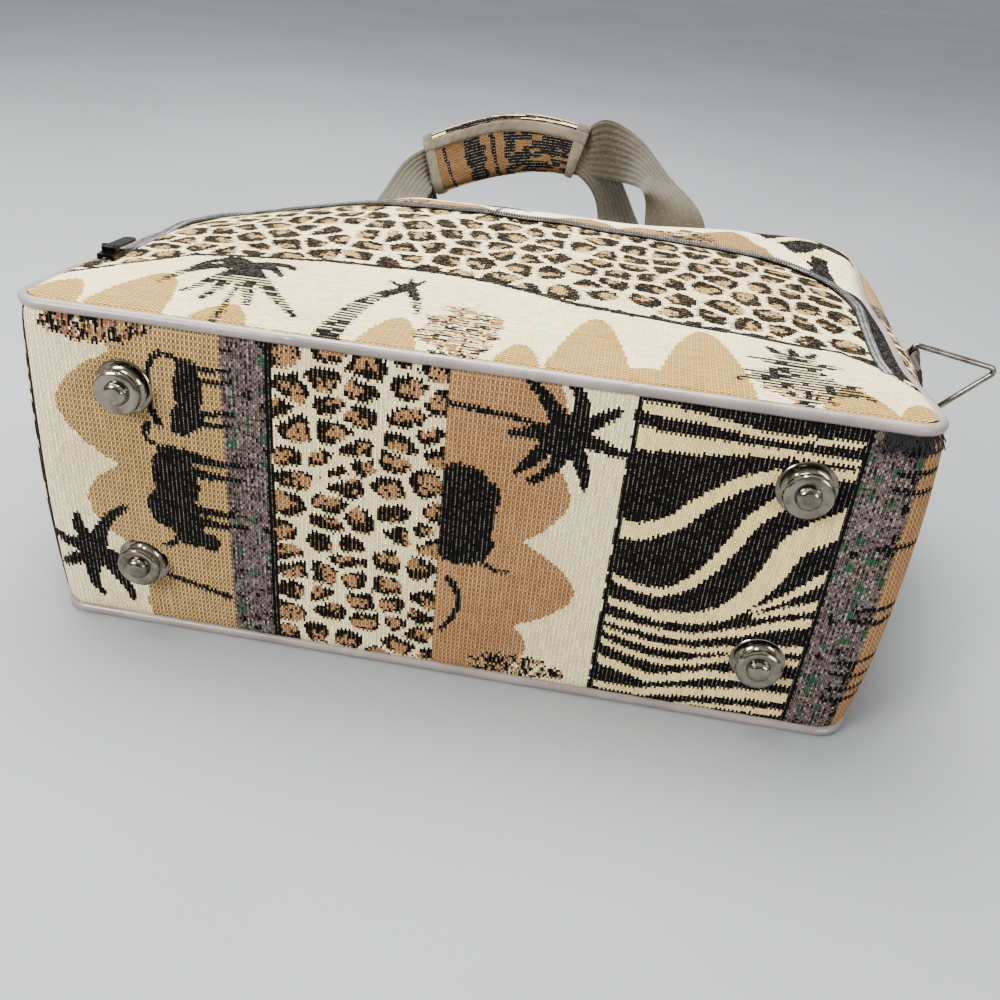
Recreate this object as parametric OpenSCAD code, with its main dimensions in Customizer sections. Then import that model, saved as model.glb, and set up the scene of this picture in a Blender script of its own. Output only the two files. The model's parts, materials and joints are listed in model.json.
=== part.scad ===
// Soft carpet bag lying on its back: floor at z = 0, base with feet towards -Y, handles towards +Y.
// The origin is the middle of the back panel's outer face. All sizes are in millimetres.

/* [Body] */
// Width between the centres of the side piping runs
body_w = 356; // [310:1:400]
// Height from the base edge to the top edge
body_h = 245; // [225:1:270]
// Depth between the piping loops along the base edge
base_depth = 148; // [130:1:165]
// Depth between the piping loops along the top edge
top_depth = 129; // [115:1:145]
// Radius of the outline's corners at the base
base_corner_r = 12; // [10:1:30]
// Radius of the outline's corners at the top
top_corner_r = 30; // [22:1:36]
// Thickness of the lined fabric walls
fabric_t = 2; // [1.4:0.1:2.4]
// How far the sides swell past the piping
side_swell = 34; // [18:1:40]
// Share of the height at which the sides swell most
side_swell_peak = 0.7; // [0.64:0.01:0.74]
// How far the front swells above the piping
front_swell = 17; // [12:1:24]
// Share of the height at which the front swells most
front_swell_peak = 0.75; // [0.68:0.01:0.78]
// Place of the seam across the base, from the middle
base_seam_x = -4; // [-12:1:12]

/* [Piping] */
// Diameter of the piping
piping_d = 4.8; // [4:0.1:6]

/* [Front pocket] */
// Distance of the pocket's top edge below the top edge
pocket_drop = 73; // [62:1:85]
// Height at which the pocket zip ends above the base edge
pocket_zip_end = 50; // [44:1:80]
// Distance of the zip's legs from the side piping
pocket_zip_inset = 12; // [11:1:20]
// Radius of the zip's arch at its top corners
pocket_arch_r = 45; // [35:1:55]
// Thickness of the wall behind the pocket
pocket_wall_t = 2; // [1.4:0.1:2.6]

/* [Zips] */
// Opening between the fabric edges at the pocket zip
pocket_zip_gap = 6; // [5.4:0.1:6.4]
// Width of the pocket zip's coil
pocket_coil_w = 4.4; // [4:0.1:4.8]
// Opening between the fabric edges at the main zip
main_zip_gap = 10; // [9.6:0.1:10.6]
// Width of the main zip's coil
main_coil_w = 5; // [4.4:0.1:5.4]
// How far a coil stands above the fabric
coil_rise = 0.8; // [0.5:0.1:1.2]
// Thickness of the zip tapes
tape_t = 1; // [0.8:0.1:1.2]
// Width of the main zip's tape
main_tape_w = 28; // [22:1:34]
// Width of the pocket zip's tape
pocket_tape_w = 11; // [9:0.5:13]
// Length of a zip slider
slider_l = 10; // [9:0.5:12]
// Distance of a closed slider from the end of its zip
slider_stop = 2; // [1:0.5:4]
// Thickness of a slider's plate
slider_plate_t = 1.2; // [1:0.1:2]
// Diameter of the pin that a zip pull swings on
pull_pin_d = 1.5; // [1.2:0.1:2]
// Length of a zip pull
pull_l = 20; // [17:1:26]
// Width of a zip pull
pull_w = 6; // [5.5:0.5:8]
// Thickness of a zip pull
pull_t = 1; // [0.8:0.1:1.6]
// Angle by which a pull at rest dips towards the zip
pull_dip = 5; // [0:1:6]

/* [Base and feet] */
// Distance between the feet along the base
foot_spacing_x = 269; // [240:1:280]
// Distance between the feet across the base
foot_spacing_z = 84; // [60:1:90]
// Height of the feet's middle above the middle of the base
foot_rise = 2.6; // [0:0.2:4]
// Diameter of a foot's flange
foot_d = 23.5; // [18:0.5:25]
// Height of a foot below the fabric
foot_h = 11; // [8:0.1:13]
// Thickness of a foot's flange
foot_flange_t = 1.8; // [1.4:0.1:2.2]
// Diameter of a foot's rivet
foot_rivet_d = 5; // [4:0.1:6]
// Thickness of the board in the base
board_t = 3; // [2:0.1:4]
// Distance of the board's long edges from the piping
board_margin = 12; // [9:1:18]
// Diameter of a foot's washer
washer_d = 16; // [13:0.5:18]
// Thickness of a foot's washer
washer_t = 1.2; // [0.8:0.1:1.6]

/* [Handles] */
// Width of the handle webbing
strap_w = 38; // [32:1:40]
// Thickness of the handle webbing
strap_t = 2; // [1.5:0.1:2.4]
// Distance between a handle's two sewn ends
strap_spread = 168; // [150:1:180]
// Distance of the front handle's sewn ends from the main zip
strap_front_inset = 14; // [8:1:18]
// Distance of the back handle's sewn ends from the back piping
strap_back_inset = 11; // [8:1:16]
// Length of a sewn end on the top strip
strap_sewn_l = 24; // [18:1:28]
// Length of the wrap round both handles
wrap_l = 100; // [85:1:110]
// Thickness of the wrap's padding
wrap_t = 2.2; // [1.6:0.1:3]
// Place of the wrap's right end, from the middle
wrap_right_x = 14; // [4:1:24]
// How far the wrap's axis stands above the bag's top edge
wrap_rise = 55; // [48:1:65]
// Height of the wrap's right end above the floor
wrap_z = 166; // [158:1:174]
// How far the wrap's left end hangs below its right end
wrap_drop = 18; // [8:1:24]
// Lean of the webbing's width inside the wrap, from level
wrap_lean = 60; // [50:1:70]
// Room in the wrap beside the webbing
wrap_ease_w = 1.5; // [1:0.1:2]
// Room in the wrap in front of the webbing and behind it
wrap_ease_n = 1.3; // [0.8:0.1:1.8]
// Width of the wrap's edge binding
binding_w = 8; // [6:0.5:10]
// Thickness of the wrap's edge binding
binding_t = 1.2; // [0.8:0.1:1.6]
// Distance of the binding from the wrap's middle line
binding_inset = 1; // [0:0.5:3]

/* [Rings] */
// Diameter of the ring wire
ring_wire_d = 3; // [2.4:0.1:3.4]
// Length of a ring's bar between the outer sides
ring_bar_l = 47; // [44:1:54]
// Distance from a ring's bar to its point
ring_h = 41; // [34:1:46]
// Bend radius of the ring wire at its corners
ring_bend_r = 2.5; // [2:0.1:3.5]
// Thickness of the tab's webbing
tab_t = 2; // [1.5:0.1:2.2]
// Length of the tab's sewn tail
tab_tail_l = 24; // [16:1:26]
// Share of the height at which a ring's bar sits
ring_share = 0.6735; // [0.64:0.0005:0.7]
// Height of a ring's bar above the floor, at its middle
ring_z = 102; // [90:1:104]
// Angle by which the left ring has fallen towards the top
ring_left_turn = 72; // [0:1:78]

/* [Clearances] */
// Gap in the seams between sewn pieces
seam_gap = 0.3; // [0.2:0.05:0.4]
// Gap between flat layers that lie on each other
layer_gap = 0.2; // [0.1:0.05:0.3]
// Gap between pieces that move and what they pass
run_gap = 0.3; // [0.25:0.05:0.5]
// Gap round a pull's pin
pin_gap = 0.08; // [0.05:0.01:0.1]

/* [Hidden] */
$fn = 48;

// Colours
tapestry = "#d9c49a";
vinyl = "#a79c92";
webbing = "#8d8574";
zip_black = "#1d1d1f";
metal = "#b9b9bb";
card = "#8a7a63";

// Outline of the body in x and y, and the two piping planes in z
piping_r = piping_d / 2;
half_w = body_w / 2;
base_y = -body_h / 2;
top_y = body_h / 2;
back_z = piping_r;
base_front_z = back_z + base_depth;
top_front_z = back_z + top_depth;
front_tilt = atan((base_depth - top_depth) / body_h);
half_t = fabric_t / 2;
inner_half_w = half_w - piping_r;
edge_lift = half_t + layer_gap + pocket_wall_t / 2;
top_half_l = half_w - top_corner_r - seam_gap;

// Fineness of the soft shapes
steps_base = 3;
steps_arc = 7;
steps_side = 12;
steps_depth = 12;
steps_row = 22;
steps_border = 5;
steps_strap = 18;
steps_wrap = 14;
wrap_sides = 24;
steps_bend = 6;
wire_sides = 12;

// Zips
pocket_zip_x = half_w - pocket_zip_inset;
pocket_zip_y = top_y - pocket_drop;
pocket_zip_end_y = base_y + pocket_zip_end;
main_zip_z = (back_z + top_front_z) / 2;
main_tape_y = top_y - half_t - layer_gap;
main_slider_x = -top_half_l + slider_l + 2 * slider_stop;
pocket_slider_y = pocket_zip_end_y + slider_l / 2 + slider_stop;
skirt_t = 1.4;
skirt_depth = 1.2;
lug_t = 1;
lug_l = 3;
eye_wall = 0.8;
pull_pin_r = pull_pin_d / 2;
eye_r = pull_pin_r + pin_gap + eye_wall;
eye_w = 4.2;
pin_h = run_gap + slider_plate_t + layer_gap + eye_r;

// Feet: the cap, waist, button and tip are shares of the flange and of each other
foot_mid_z = back_z + base_depth / 2 + foot_rise;
foot_cap_d = 0.82 * foot_d;
foot_waist_d = 0.6 * foot_d;
foot_button_d = 0.43 * foot_d;
foot_tip_d = 0.5 * foot_button_d;
board_half_l = half_w - base_corner_r;

// Handles: the wrap's ends lie closer than its length because it arches
strap_foot_y = top_y + half_t + layer_gap + strap_t / 2;
strap_front_z = main_zip_z + main_zip_gap / 2 + strap_front_inset;
strap_back_z = back_z + piping_d + strap_back_inset;
wrap_y = top_y + wrap_rise;
strap_offset = strap_t / 2 + run_gap;
wrap_in_w = strap_w / 2 + wrap_ease_w;
wrap_in_n = strap_t + run_gap + wrap_ease_n;
wrap_chord = 0.94 * wrap_l;
wrap_across = [0, cos(wrap_lean), sin(wrap_lean)];
wrap_front = [0, -sin(wrap_lean), cos(wrap_lean)];
wrap_right_end = [wrap_right_x, wrap_y, wrap_z];
wrap_left_end = [wrap_right_x - wrap_chord, wrap_y, wrap_z - wrap_drop];

// How the handles leave their sewn ends and run into the wrap, as shares of the wrap's rise
front_right_pull = [[0, 0.42, 0.73], [0.8, 0, 0.24]];
front_left_pull = [[-0.19, 0.32, 1.02], [-0.9, -0.03, -0.5]];
back_right_pull = [[0, 0.55, 0.91], [0.76, 0, -0.36]];
back_left_pull = [[0.04, 0.21, 0.66], [-0.63, -0.03, -0.34]];

// Rings: corners, the way the wire runs into each, how far it turns and where each bend starts
ring_wire_r = ring_wire_d / 2;
ring_half = ring_bar_l / 2 - ring_wire_r;
ring_corners = [[0, -ring_half], [ring_h, 0], [0, ring_half]];
ring_dirs = [for (i = [0:2]) unit(ring_corners[i] - ring_corners[(i + 2) % 3])];
ring_turns = [for (i = [0:2]) acos(ring_dirs[i] * ring_dirs[(i + 1) % 3])];
ring_backs = [for (i = [0:2]) ring_bend_r * tan(ring_turns[i] / 2)];
ring_straight = 2 * (ring_half - ring_backs[0]);
tab_w = ring_straight - 2 * run_gap;
tab_bore_r = ring_wire_r + run_gap;
tab_outer_r = tab_bore_r + tab_t;
ring_at_y = base_y + ring_share * body_h;
ring_lean = atan(side_x(ring_at_y, ring_z - 0.5) - side_x(ring_at_y, ring_z + 0.5));
ring_at_x = side_x(ring_at_y, ring_z) + (seam_gap + tab_outer_r) / cos(ring_lean);

function mix(a, b, t) = a + (b - a) * t;
function unit(v) = v / norm(v);
function ease(t) = t * t * (3 - 2 * t);

// Height of the front piping's centre at y
function front_z(y) = mix(base_front_z, top_front_z, (y - base_y) / body_h);

// Swell of the sides along the height and across the depth
function height_share(y) = min(1, max(0, (y - base_y) / body_h));
function peak_sine(q, peak) = q < peak ? sin(90 * q / peak) : sin(90 * (1 - q) / (1 - peak));
function side_bulge(y) = side_swell * pow(peak_sine(height_share(y), side_swell_peak), 0.8);
function depth_profile(v) = sqrt(max(0, sin(180 * v)));
function depth_low() = back_z + piping_r + seam_gap;
function depth_high(y) = front_z(y) - piping_r - seam_gap;
function depth_share(y, z) = (z - depth_low()) / (depth_high(y) - depth_low());
function side_x(y, z) = half_w + half_t + side_bulge(y) * depth_profile(depth_share(y, z));

// Middle of the front fabric above the floor
function front_share(y) = min(1, max(0, (y - base_y - piping_r) / (body_h - piping_d)));
function front_along(q) = q < front_swell_peak
    ? pow(sin(90 * q / front_swell_peak), 1.8)
    : sqrt(1 - pow((q - front_swell_peak) / (1 - front_swell_peak), 2));
function front_across(x) = pow(max(0, 1 - pow(abs(x) / inner_half_w, 3.2)), 0.7);
function front_mid_z(x, y) =
    front_z(y) + edge_lift + front_swell * front_across(x) * front_along(front_share(y));

// Round end of a straight edge: how far the edge draws in at a distance d from the corner's start
function corner_inset(r, d) = r - sqrt(max(0, r * r - d * d));

// Faces of a slab whose upper grid of points comes first and whose lower grid comes second
function slab_faces(nu, nv) = let (w = nv + 1, n = (nu + 1) * (nv + 1)) concat(
    [for (i = [0:nu - 1], j = [0:nv - 1]) each [
        [i * w + j, i * w + j + 1, (i + 1) * w + j + 1],
        [i * w + j, (i + 1) * w + j + 1, (i + 1) * w + j],
        [n + i * w + j, n + (i + 1) * w + j + 1, n + i * w + j + 1],
        [n + i * w + j, n + (i + 1) * w + j, n + (i + 1) * w + j + 1]]],
    [for (i = [0:nu - 1]) each [
        [i * w, (i + 1) * w, n + (i + 1) * w],
        [i * w, n + (i + 1) * w, n + i * w],
        [i * w + nv, n + (i + 1) * w + nv, (i + 1) * w + nv],
        [i * w + nv, n + i * w + nv, n + (i + 1) * w + nv]]],
    [for (j = [0:nv - 1]) each [
        [j, n + j + 1, j + 1],
        [j, n + j, n + j + 1],
        [nu * w + j, nu * w + j + 1, n + nu * w + j + 1],
        [nu * w + j, n + nu * w + j + 1, n + nu * w + j]]]);

// Faces of a closed tube of n rings with m points each, with flat ends
function tube_faces(n, m) = concat(
    [for (i = [0:n - 2], j = [0:m - 1]) let (k = (j + 1) % m) each [
        [i * m + j, i * m + k, (i + 1) * m + k],
        [i * m + j, (i + 1) * m + k, (i + 1) * m + j]]],
    [[for (j = [0:m - 1]) m - 1 - j]],
    [[for (j = [0:m - 1]) (n - 1) * m + j]]);

// Faces of a sleeve: n rings of m outer points, then n rings of m inner points
function sleeve_faces(n, m) = let (s = n * m) concat(
    [for (i = [0:n - 2], j = [0:m - 1]) let (k = (j + 1) % m) each [
        [i * m + j, i * m + k, (i + 1) * m + k],
        [i * m + j, (i + 1) * m + k, (i + 1) * m + j],
        [s + i * m + j, s + (i + 1) * m + k, s + i * m + k],
        [s + i * m + j, s + (i + 1) * m + j, s + (i + 1) * m + k]]],
    [for (j = [0:m - 1]) let (k = (j + 1) % m, e = (n - 1) * m) each [
        [j, s + k, k],
        [j, s + j, s + k],
        [e + j, e + k, s + e + k],
        [e + j, s + e + k, s + e + j]]]);

// Right half of the body's outline from the base seam to the top corner: [x, y, normal x, normal y]
function edge_path(seam) = concat(
    [for (i = [0:steps_base])
        [mix(seam + seam_gap / 2, half_w - base_corner_r, i / steps_base), base_y, 0, -1]],
    [for (i = [1:steps_arc]) let (a = -90 + 90 * i / steps_arc)
        [half_w - base_corner_r + base_corner_r * cos(a), base_y + base_corner_r + base_corner_r * sin(a),
         cos(a), sin(a)]],
    [for (i = [1:steps_side])
        [half_w, mix(base_y + base_corner_r, top_y - top_corner_r, i / steps_side), 1, 0]],
    [for (i = [1:steps_arc]) let (a = 90 * i / steps_arc)
        [half_w - top_corner_r + top_corner_r * cos(a), top_y - top_corner_r + top_corner_r * sin(a),
         cos(a), sin(a)]]);

function gusset_points(path, offset) = [
    for (p = path, j = [0:steps_depth])
        let (v = (1 - cos(180 * j / steps_depth)) / 2,
             d = side_bulge(p[1]) * depth_profile(v) + offset)
        [p[0] + p[2] * d, p[1] + p[3] * d, mix(depth_low(), depth_high(p[1]), v)]];

module foot_places() {
    for (sx = [-1, 1], sz = [-1, 1])
        translate([sx * foot_spacing_x / 2, base_y - half_t, foot_mid_z + sz * foot_spacing_z / 2])
            rotate([90, 0, 0])
                children();
}

module gusset(seam) {
    path = edge_path(seam);
    difference() {
        polyhedron(concat(gusset_points(path, half_t), gusset_points(path, -half_t)),
                   slab_faces(len(path) - 1, steps_depth));
        foot_places()
            translate([0, 0, -2 * fabric_t])
                cylinder(r = foot_rivet_d / 2 + seam_gap, h = 3 * fabric_t);
    }
}

module gusset_left() {
    color(tapestry)
        mirror([1, 0, 0])
            gusset(-base_seam_x);
}

module gusset_right() {
    color(tapestry)
        gusset(base_seam_x);
}

// Flat shape of the body's outline, drawn in by an inset, with its base edge at y = 0
module outline_shape(length, inset) {
    base_r = base_corner_r - inset;
    top_r = top_corner_r - inset;
    w = half_w - inset;
    translate([-w, base_corner_r])
        square([2 * w, length - base_corner_r - top_corner_r]);
    translate([-(half_w - base_corner_r), inset])
        square([2 * (half_w - base_corner_r), base_corner_r]);
    translate([-(half_w - top_corner_r), length - inset - top_corner_r])
        square([2 * (half_w - top_corner_r), top_corner_r]);
    for (s = [-1, 1]) {
        translate([s * (half_w - base_corner_r), base_corner_r])
            circle(r = base_r);
        translate([s * (half_w - top_corner_r), length - top_corner_r])
            circle(r = top_r);
    }
}

module back_panel() {
    color(tapestry)
        translate([0, base_y, 0])
            linear_extrude(fabric_t)
                outline_shape(body_h, piping_r + seam_gap);
}

module cord_run(a, b) {
    translate(a)
        rotate([0, 0, atan2(b[1] - a[1], b[0] - a[0])])
            rotate([0, 90, 0])
                cylinder(r = piping_r, h = norm(b - a));
}

module cord_bend(centre, r, start) {
    translate(centre)
        rotate([0, 0, start])
            rotate_extrude(angle = 90)
                translate([r, 0])
                    circle(r = piping_r);
}

// Piping loop in its own plane, with its base edge at y = 0
module piping_loop(length) {
    bx = half_w - base_corner_r;
    tx = half_w - top_corner_r;
    ty = length - top_corner_r;
    cord_run([-bx, 0, 0], [bx, 0, 0]);
    cord_bend([bx, base_corner_r, 0], base_corner_r, -90);
    cord_run([half_w, base_corner_r, 0], [half_w, ty, 0]);
    cord_bend([tx, ty, 0], top_corner_r, 0);
    cord_run([tx, length, 0], [-tx, length, 0]);
    cord_bend([-tx, ty, 0], top_corner_r, 90);
    cord_run([-half_w, ty, 0], [-half_w, base_corner_r, 0]);
    cord_bend([-bx, base_corner_r, 0], base_corner_r, 180);
}

module on_front_plane() {
    translate([0, base_y, base_front_z])
        rotate([-front_tilt, 0, 0])
            children();
}

module piping_back() {
    color(vinyl)
        translate([0, base_y, back_z])
            piping_loop(body_h);
}

module piping_front() {
    color(vinyl)
        on_front_plane()
            piping_loop(body_h / cos(front_tilt));
}

module base_board() {
    low_z = back_z + board_margin;
    color(card)
        difference() {
            translate([-board_half_l, base_y + half_t + layer_gap, low_z])
                cube([2 * board_half_l, board_t, base_depth - 2 * board_margin]);
            foot_places()
                translate([0, 0, -(fabric_t + layer_gap + 2 * board_t)])
                    cylinder(r = foot_rivet_d / 2 + seam_gap, h = 3 * board_t);
        }
}

// Half section of a foot: rivet, flange, cove up to a waist, broad rounded cap and low button with a flat tip
module foot_section() {
    rivet_l = fabric_t + 2 * layer_gap + board_t + washer_t;
    cap_low = 0.5 * foot_h;
    cap_top = 0.8 * foot_h;
    rim_r = (cap_top - cap_low) / 2;
    button_low = cap_top - 0.3 * rim_r;
    polygon(concat(
        [[0, -rivet_l], [foot_rivet_d / 2, -rivet_l]],
        [[foot_rivet_d / 2, layer_gap], [foot_d / 2, layer_gap]],
        [for (a = [0:30:90])
            [foot_d / 2 - 0.4 * foot_flange_t * (1 - cos(a)), foot_flange_t * (0.6 + 0.4 * sin(a))]],
        [for (a = [0:15:90])
            [mix(foot_cap_d, foot_waist_d, sin(a)) / 2, mix(foot_flange_t, cap_low, 1 - cos(a))]],
        [for (a = [-90:22.5:90])
            [foot_cap_d / 2 - rim_r * (1 - cos(a)), (cap_low + cap_top) / 2 + rim_r * sin(a)]],
        [for (a = [0:15:90])
            [mix(foot_tip_d, foot_button_d, cos(a)) / 2, mix(button_low, foot_h, sin(a))]],
        [[0, foot_h]]));
}

module feet() {
    color(metal)
        foot_places()
            rotate_extrude()
                foot_section();
}

module foot_washers() {
    color(metal)
        foot_places()
            translate([0, 0, -(fabric_t + 2 * layer_gap + board_t + washer_t)])
                difference() {
                    cylinder(d = washer_d, h = washer_t);
                    translate([0, 0, -washer_t])
                        cylinder(r = foot_rivet_d / 2 + pin_gap, h = 3 * washer_t);
                }
}

// The wall lies low enough for the zip's tape to pass over it
module pocket_wall() {
    color(tapestry)
        on_front_plane()
            translate([0, 0, -pocket_wall_t / 2 - tape_t])
                linear_extrude(pocket_wall_t)
                    outline_shape(body_h / cos(front_tilt), piping_r + seam_gap);
}

// Half width of the pocket panel at height y
function pocket_half_w(y) = y < pocket_zip_end_y
    ? inner_half_w - corner_inset(base_corner_r - piping_r, max(0, base_y + base_corner_r - y))
    : pocket_zip_x - pocket_zip_gap / 2
        - corner_inset(pocket_arch_r - pocket_zip_gap / 2, max(0, y - (pocket_zip_y - pocket_arch_r)));

pocket_rows = concat(
    [for (i = [0:5]) base_y + base_corner_r - (base_corner_r - piping_r) * cos(90 * i / 5)],
    [for (i = [1:5]) mix(base_y + base_corner_r, pocket_zip_end_y - seam_gap, i / 5)],
    [for (i = [0:5]) mix(pocket_zip_end_y, pocket_zip_y - pocket_arch_r, i / 5)],
    [for (i = [1:7]) pocket_zip_y - pocket_arch_r + (pocket_arch_r - pocket_zip_gap / 2) * sin(90 * i / 7)]);

function front_points(rows, offset) = [
    for (y = rows, j = [0:steps_row])
        let (x = pocket_half_w(y) * sin(90 * (2 * j / steps_row - 1)))
        [x, y, front_mid_z(x, y) + offset]];

module pocket_panel() {
    color(tapestry)
        polyhedron(concat(front_points(pocket_rows, -half_t), front_points(pocket_rows, half_t)),
                   slab_faces(len(pocket_rows) - 1, steps_row));
}

// Path of the pocket zip from its left end over the arch to its right end: [x, y, outward x, outward y]
function zip_path(r) = concat(
    [for (i = [0:4]) [-pocket_zip_x, mix(pocket_zip_end_y, pocket_zip_y - r, i / 4), -1, 0]],
    [for (i = [1:7]) let (a = 180 - 90 * i / 7)
        [-pocket_zip_x + r + r * cos(a), pocket_zip_y - r + r * sin(a), cos(a), sin(a)]],
    [for (i = [1:13]) [mix(-pocket_zip_x + r, pocket_zip_x - r, i / 14), pocket_zip_y, 0, 1]],
    [for (i = [0:7]) let (a = 90 - 90 * i / 7)
        [pocket_zip_x - r + r * cos(a), pocket_zip_y - r + r * sin(a), cos(a), sin(a)]],
    [for (i = [1:4]) [pocket_zip_x, mix(pocket_zip_y - r, pocket_zip_end_y, i / 4), 1, 0]]);

// The same path along the front piping, station by station
function rim_path() = let (r = top_corner_r, x = half_w, y = top_y) concat(
    [for (i = [0:4]) [-x, mix(pocket_zip_end_y, y - r, i / 4), -1, 0]],
    [for (i = [1:7]) let (a = 180 - 90 * i / 7) [-x + r + r * cos(a), y - r + r * sin(a), cos(a), sin(a)]],
    [for (i = [1:13]) [mix(-x + r, x - r, i / 14), y, 0, 1]],
    [for (i = [0:7]) let (a = 90 - 90 * i / 7) [x - r + r * cos(a), y - r + r * sin(a), cos(a), sin(a)]],
    [for (i = [1:4]) [x, mix(y - r, pocket_zip_end_y, i / 4), 1, 0]]);

// Point on a path, moved outward by d
function beside(p, d) = [p[0] + p[2] * d, p[1] + p[3] * d];

function border_points(offset) = let (inner = zip_path(pocket_arch_r), outer = rim_path()) [
    for (i = [0:len(inner) - 1], j = [0:steps_border])
        let (p = mix(beside(inner[i], pocket_zip_gap / 2), beside(outer[i], -piping_r),
                     sin(90 * j / steps_border)))
        [p[0], p[1], front_mid_z(p[0], p[1]) + offset]];

module front_border() {
    n = len(rim_path()) - 1;
    color(tapestry)
        polyhedron(concat(border_points(-half_t), border_points(half_t)), slab_faces(n, steps_border));
}

function ribbon_points(half, offset) = [
    for (p = zip_path(pocket_arch_r), s = [-1, 1])
        let (q = beside(p, s * half))
        [q[0], q[1], front_mid_z(q[0], q[1]) + offset]];

module zip_ribbon(width, low, high) {
    n = len(zip_path(pocket_arch_r)) - 1;
    polyhedron(concat(ribbon_points(width / 2, low), ribbon_points(width / 2, high)), slab_faces(n, 1));
}

module pocket_zip_tape() {
    high = -half_t - layer_gap;
    color(zip_black)
        zip_ribbon(pocket_tape_w, high - tape_t, high);
}

module pocket_zip_coil() {
    color(zip_black)
        zip_ribbon(pocket_coil_w, -half_t - layer_gap, half_t + coil_rise);
}

// Slider on a coil: travel along x, coil's top at z = 0
module slider(coil_w) {
    half_l = slider_l / 2;
    half_s = coil_w / 2 + run_gap + skirt_t;
    plate_z = run_gap + slider_plate_t;
    translate([-half_l, -half_s, run_gap])
        cube([slider_l, 2 * half_s, slider_plate_t]);
    for (s = [-1, 1]) {
        translate([-half_l, s * (half_s - skirt_t / 2) - skirt_t / 2, run_gap - skirt_depth])
            cube([slider_l, skirt_t, skirt_depth]);
        translate([-lug_l / 2, s * (eye_w / 2 + run_gap + lug_t / 2) - lug_t / 2, plate_z])
            cube([lug_l, lug_t, pin_h - plate_z]);
        translate([0, s * (eye_w / 2 + run_gap + lug_t / 2) + lug_t / 2, pin_h])
            rotate([90, 0, 0])
                cylinder(d = lug_l, h = lug_t);
    }
    translate([0, eye_w / 2 + run_gap + lug_t / 2, pin_h])
        rotate([90, 0, 0])
            cylinder(r = pull_pin_r, h = eye_w + 2 * run_gap + lug_t);
}

// Pull on the slider's pin, lying along +x with its free end dipping
module pull() {
    neck_l = lug_l / 2 + run_gap + lug_t;
    translate([0, 0, pin_h])
        rotate([0, pull_dip, 0])
            difference() {
                union() {
                    translate([0, eye_w / 2, 0])
                        rotate([90, 0, 0])
                            cylinder(r = eye_r, h = eye_w);
                    translate([0, -eye_w / 2, -pull_t / 2])
                        cube([neck_l + lug_t, eye_w, pull_t]);
                    translate([neck_l, -pull_w / 2, -pull_t / 2])
                        cube([pull_l - neck_l - pull_w / 2, pull_w, pull_t]);
                    translate([pull_l - pull_w / 2, 0, -pull_t / 2])
                        cylinder(d = pull_w, h = pull_t);
                }
                translate([0, eye_w, 0])
                    rotate([90, 0, 0])
                        cylinder(r = pull_pin_r + pin_gap, h = 2 * eye_w);
            }
}

module at_pocket_slider() {
    x = -pocket_zip_x;
    y = pocket_slider_y;
    translate([x, y, front_mid_z(x, y) + half_t + coil_rise + skirt_depth])
        rotate([0, 0, 90])
            children();
}

module pocket_zip_slider() {
    color(zip_black)
        at_pocket_slider()
            slider(pocket_coil_w);
}

module pocket_zip_pull() {
    color(zip_black)
        at_pocket_slider()
            pull();
}

module top_strip(low, high) {
    translate([-top_half_l, top_y - half_t, low])
        cube([2 * top_half_l, fabric_t, high - low]);
}

module top_strip_front() {
    color(tapestry)
        top_strip(main_zip_z + main_zip_gap / 2, top_front_z - piping_r - seam_gap);
}

module top_strip_back() {
    color(tapestry)
        top_strip(back_z + piping_r + seam_gap, main_zip_z - main_zip_gap / 2);
}

module main_zip_tape() {
    color(zip_black)
        translate([-top_half_l, main_tape_y - tape_t, main_zip_z - main_tape_w / 2])
            cube([2 * top_half_l, tape_t, main_tape_w]);
}

module main_zip_coil() {
    color(zip_black)
        translate([-top_half_l, main_tape_y, main_zip_z - main_coil_w / 2])
            cube([2 * top_half_l, top_y + half_t + coil_rise - main_tape_y, main_coil_w]);
}

module at_main_slider() {
    translate([main_slider_x, top_y + half_t + coil_rise, main_zip_z])
        rotate([-90, 0, 0])
            children();
}

module main_zip_slider() {
    color(zip_black)
        at_main_slider()
            slider(main_coil_w);
}

module main_zip_pull() {
    color(zip_black)
        at_main_slider()
            pull();
}

function bezier(a, b, c, d, t) = let (s = 1 - t)
    s * s * s * a + 3 * s * s * t * b + 3 * s * t * t * c + t * t * t * d;

// Axis of the wrap from its right end to its left end
function wrap_axis(t) = bezier(
    wrap_right_end,
    mix(wrap_right_end, wrap_left_end, 0.36) + [0, 0, 0.56 * wrap_drop],
    mix(wrap_right_end, wrap_left_end, 0.7) + [0, 0, 0.6 * wrap_drop],
    wrap_left_end, t);

// Free stretch of a handle from the sewn end on one side up to the wrap's end, as [point, width direction];
// leave and enter pull the curve on from its two ends
function strap_rise(side, foot_z, into, leave, enter, t) =
    let (foot = [side * strap_spread / 2, strap_foot_y, foot_z + strap_sewn_l],
         p = bezier(foot, foot + wrap_rise * leave, into + wrap_rise * enter, into, t))
    [p, unit(mix([side, 0, 0], wrap_across, ease(t)))];

// A whole handle from the right sewn end to the left one; layer is 1 at the wrap's front and -1 behind
function strap_route(foot_z, layer, right, left) =
    let (shift = layer * strap_offset * wrap_front,
         n = steps_strap,
         half = strap_spread / 2) concat(
        [[[half, strap_foot_y, foot_z], [1, 0, 0]]],
        [for (i = [0:n - 1]) strap_rise(1, foot_z, wrap_axis(0) + shift, right[0], right[1], i / n)],
        [for (i = [0:n]) [wrap_axis(i / n) + shift, wrap_across]],
        [for (i = [1:n]) strap_rise(-1, foot_z, wrap_axis(1) + shift, left[0], left[1], 1 - i / n)],
        [[[-half, strap_foot_y, foot_z], [-1, 0, 0]]]);

// Direction of a route at station i, from its neighbours
function heading(route, i) =
    unit(route[min(i + 1, len(route) - 1)][0] - route[max(i - 1, 0)][0]);

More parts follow.
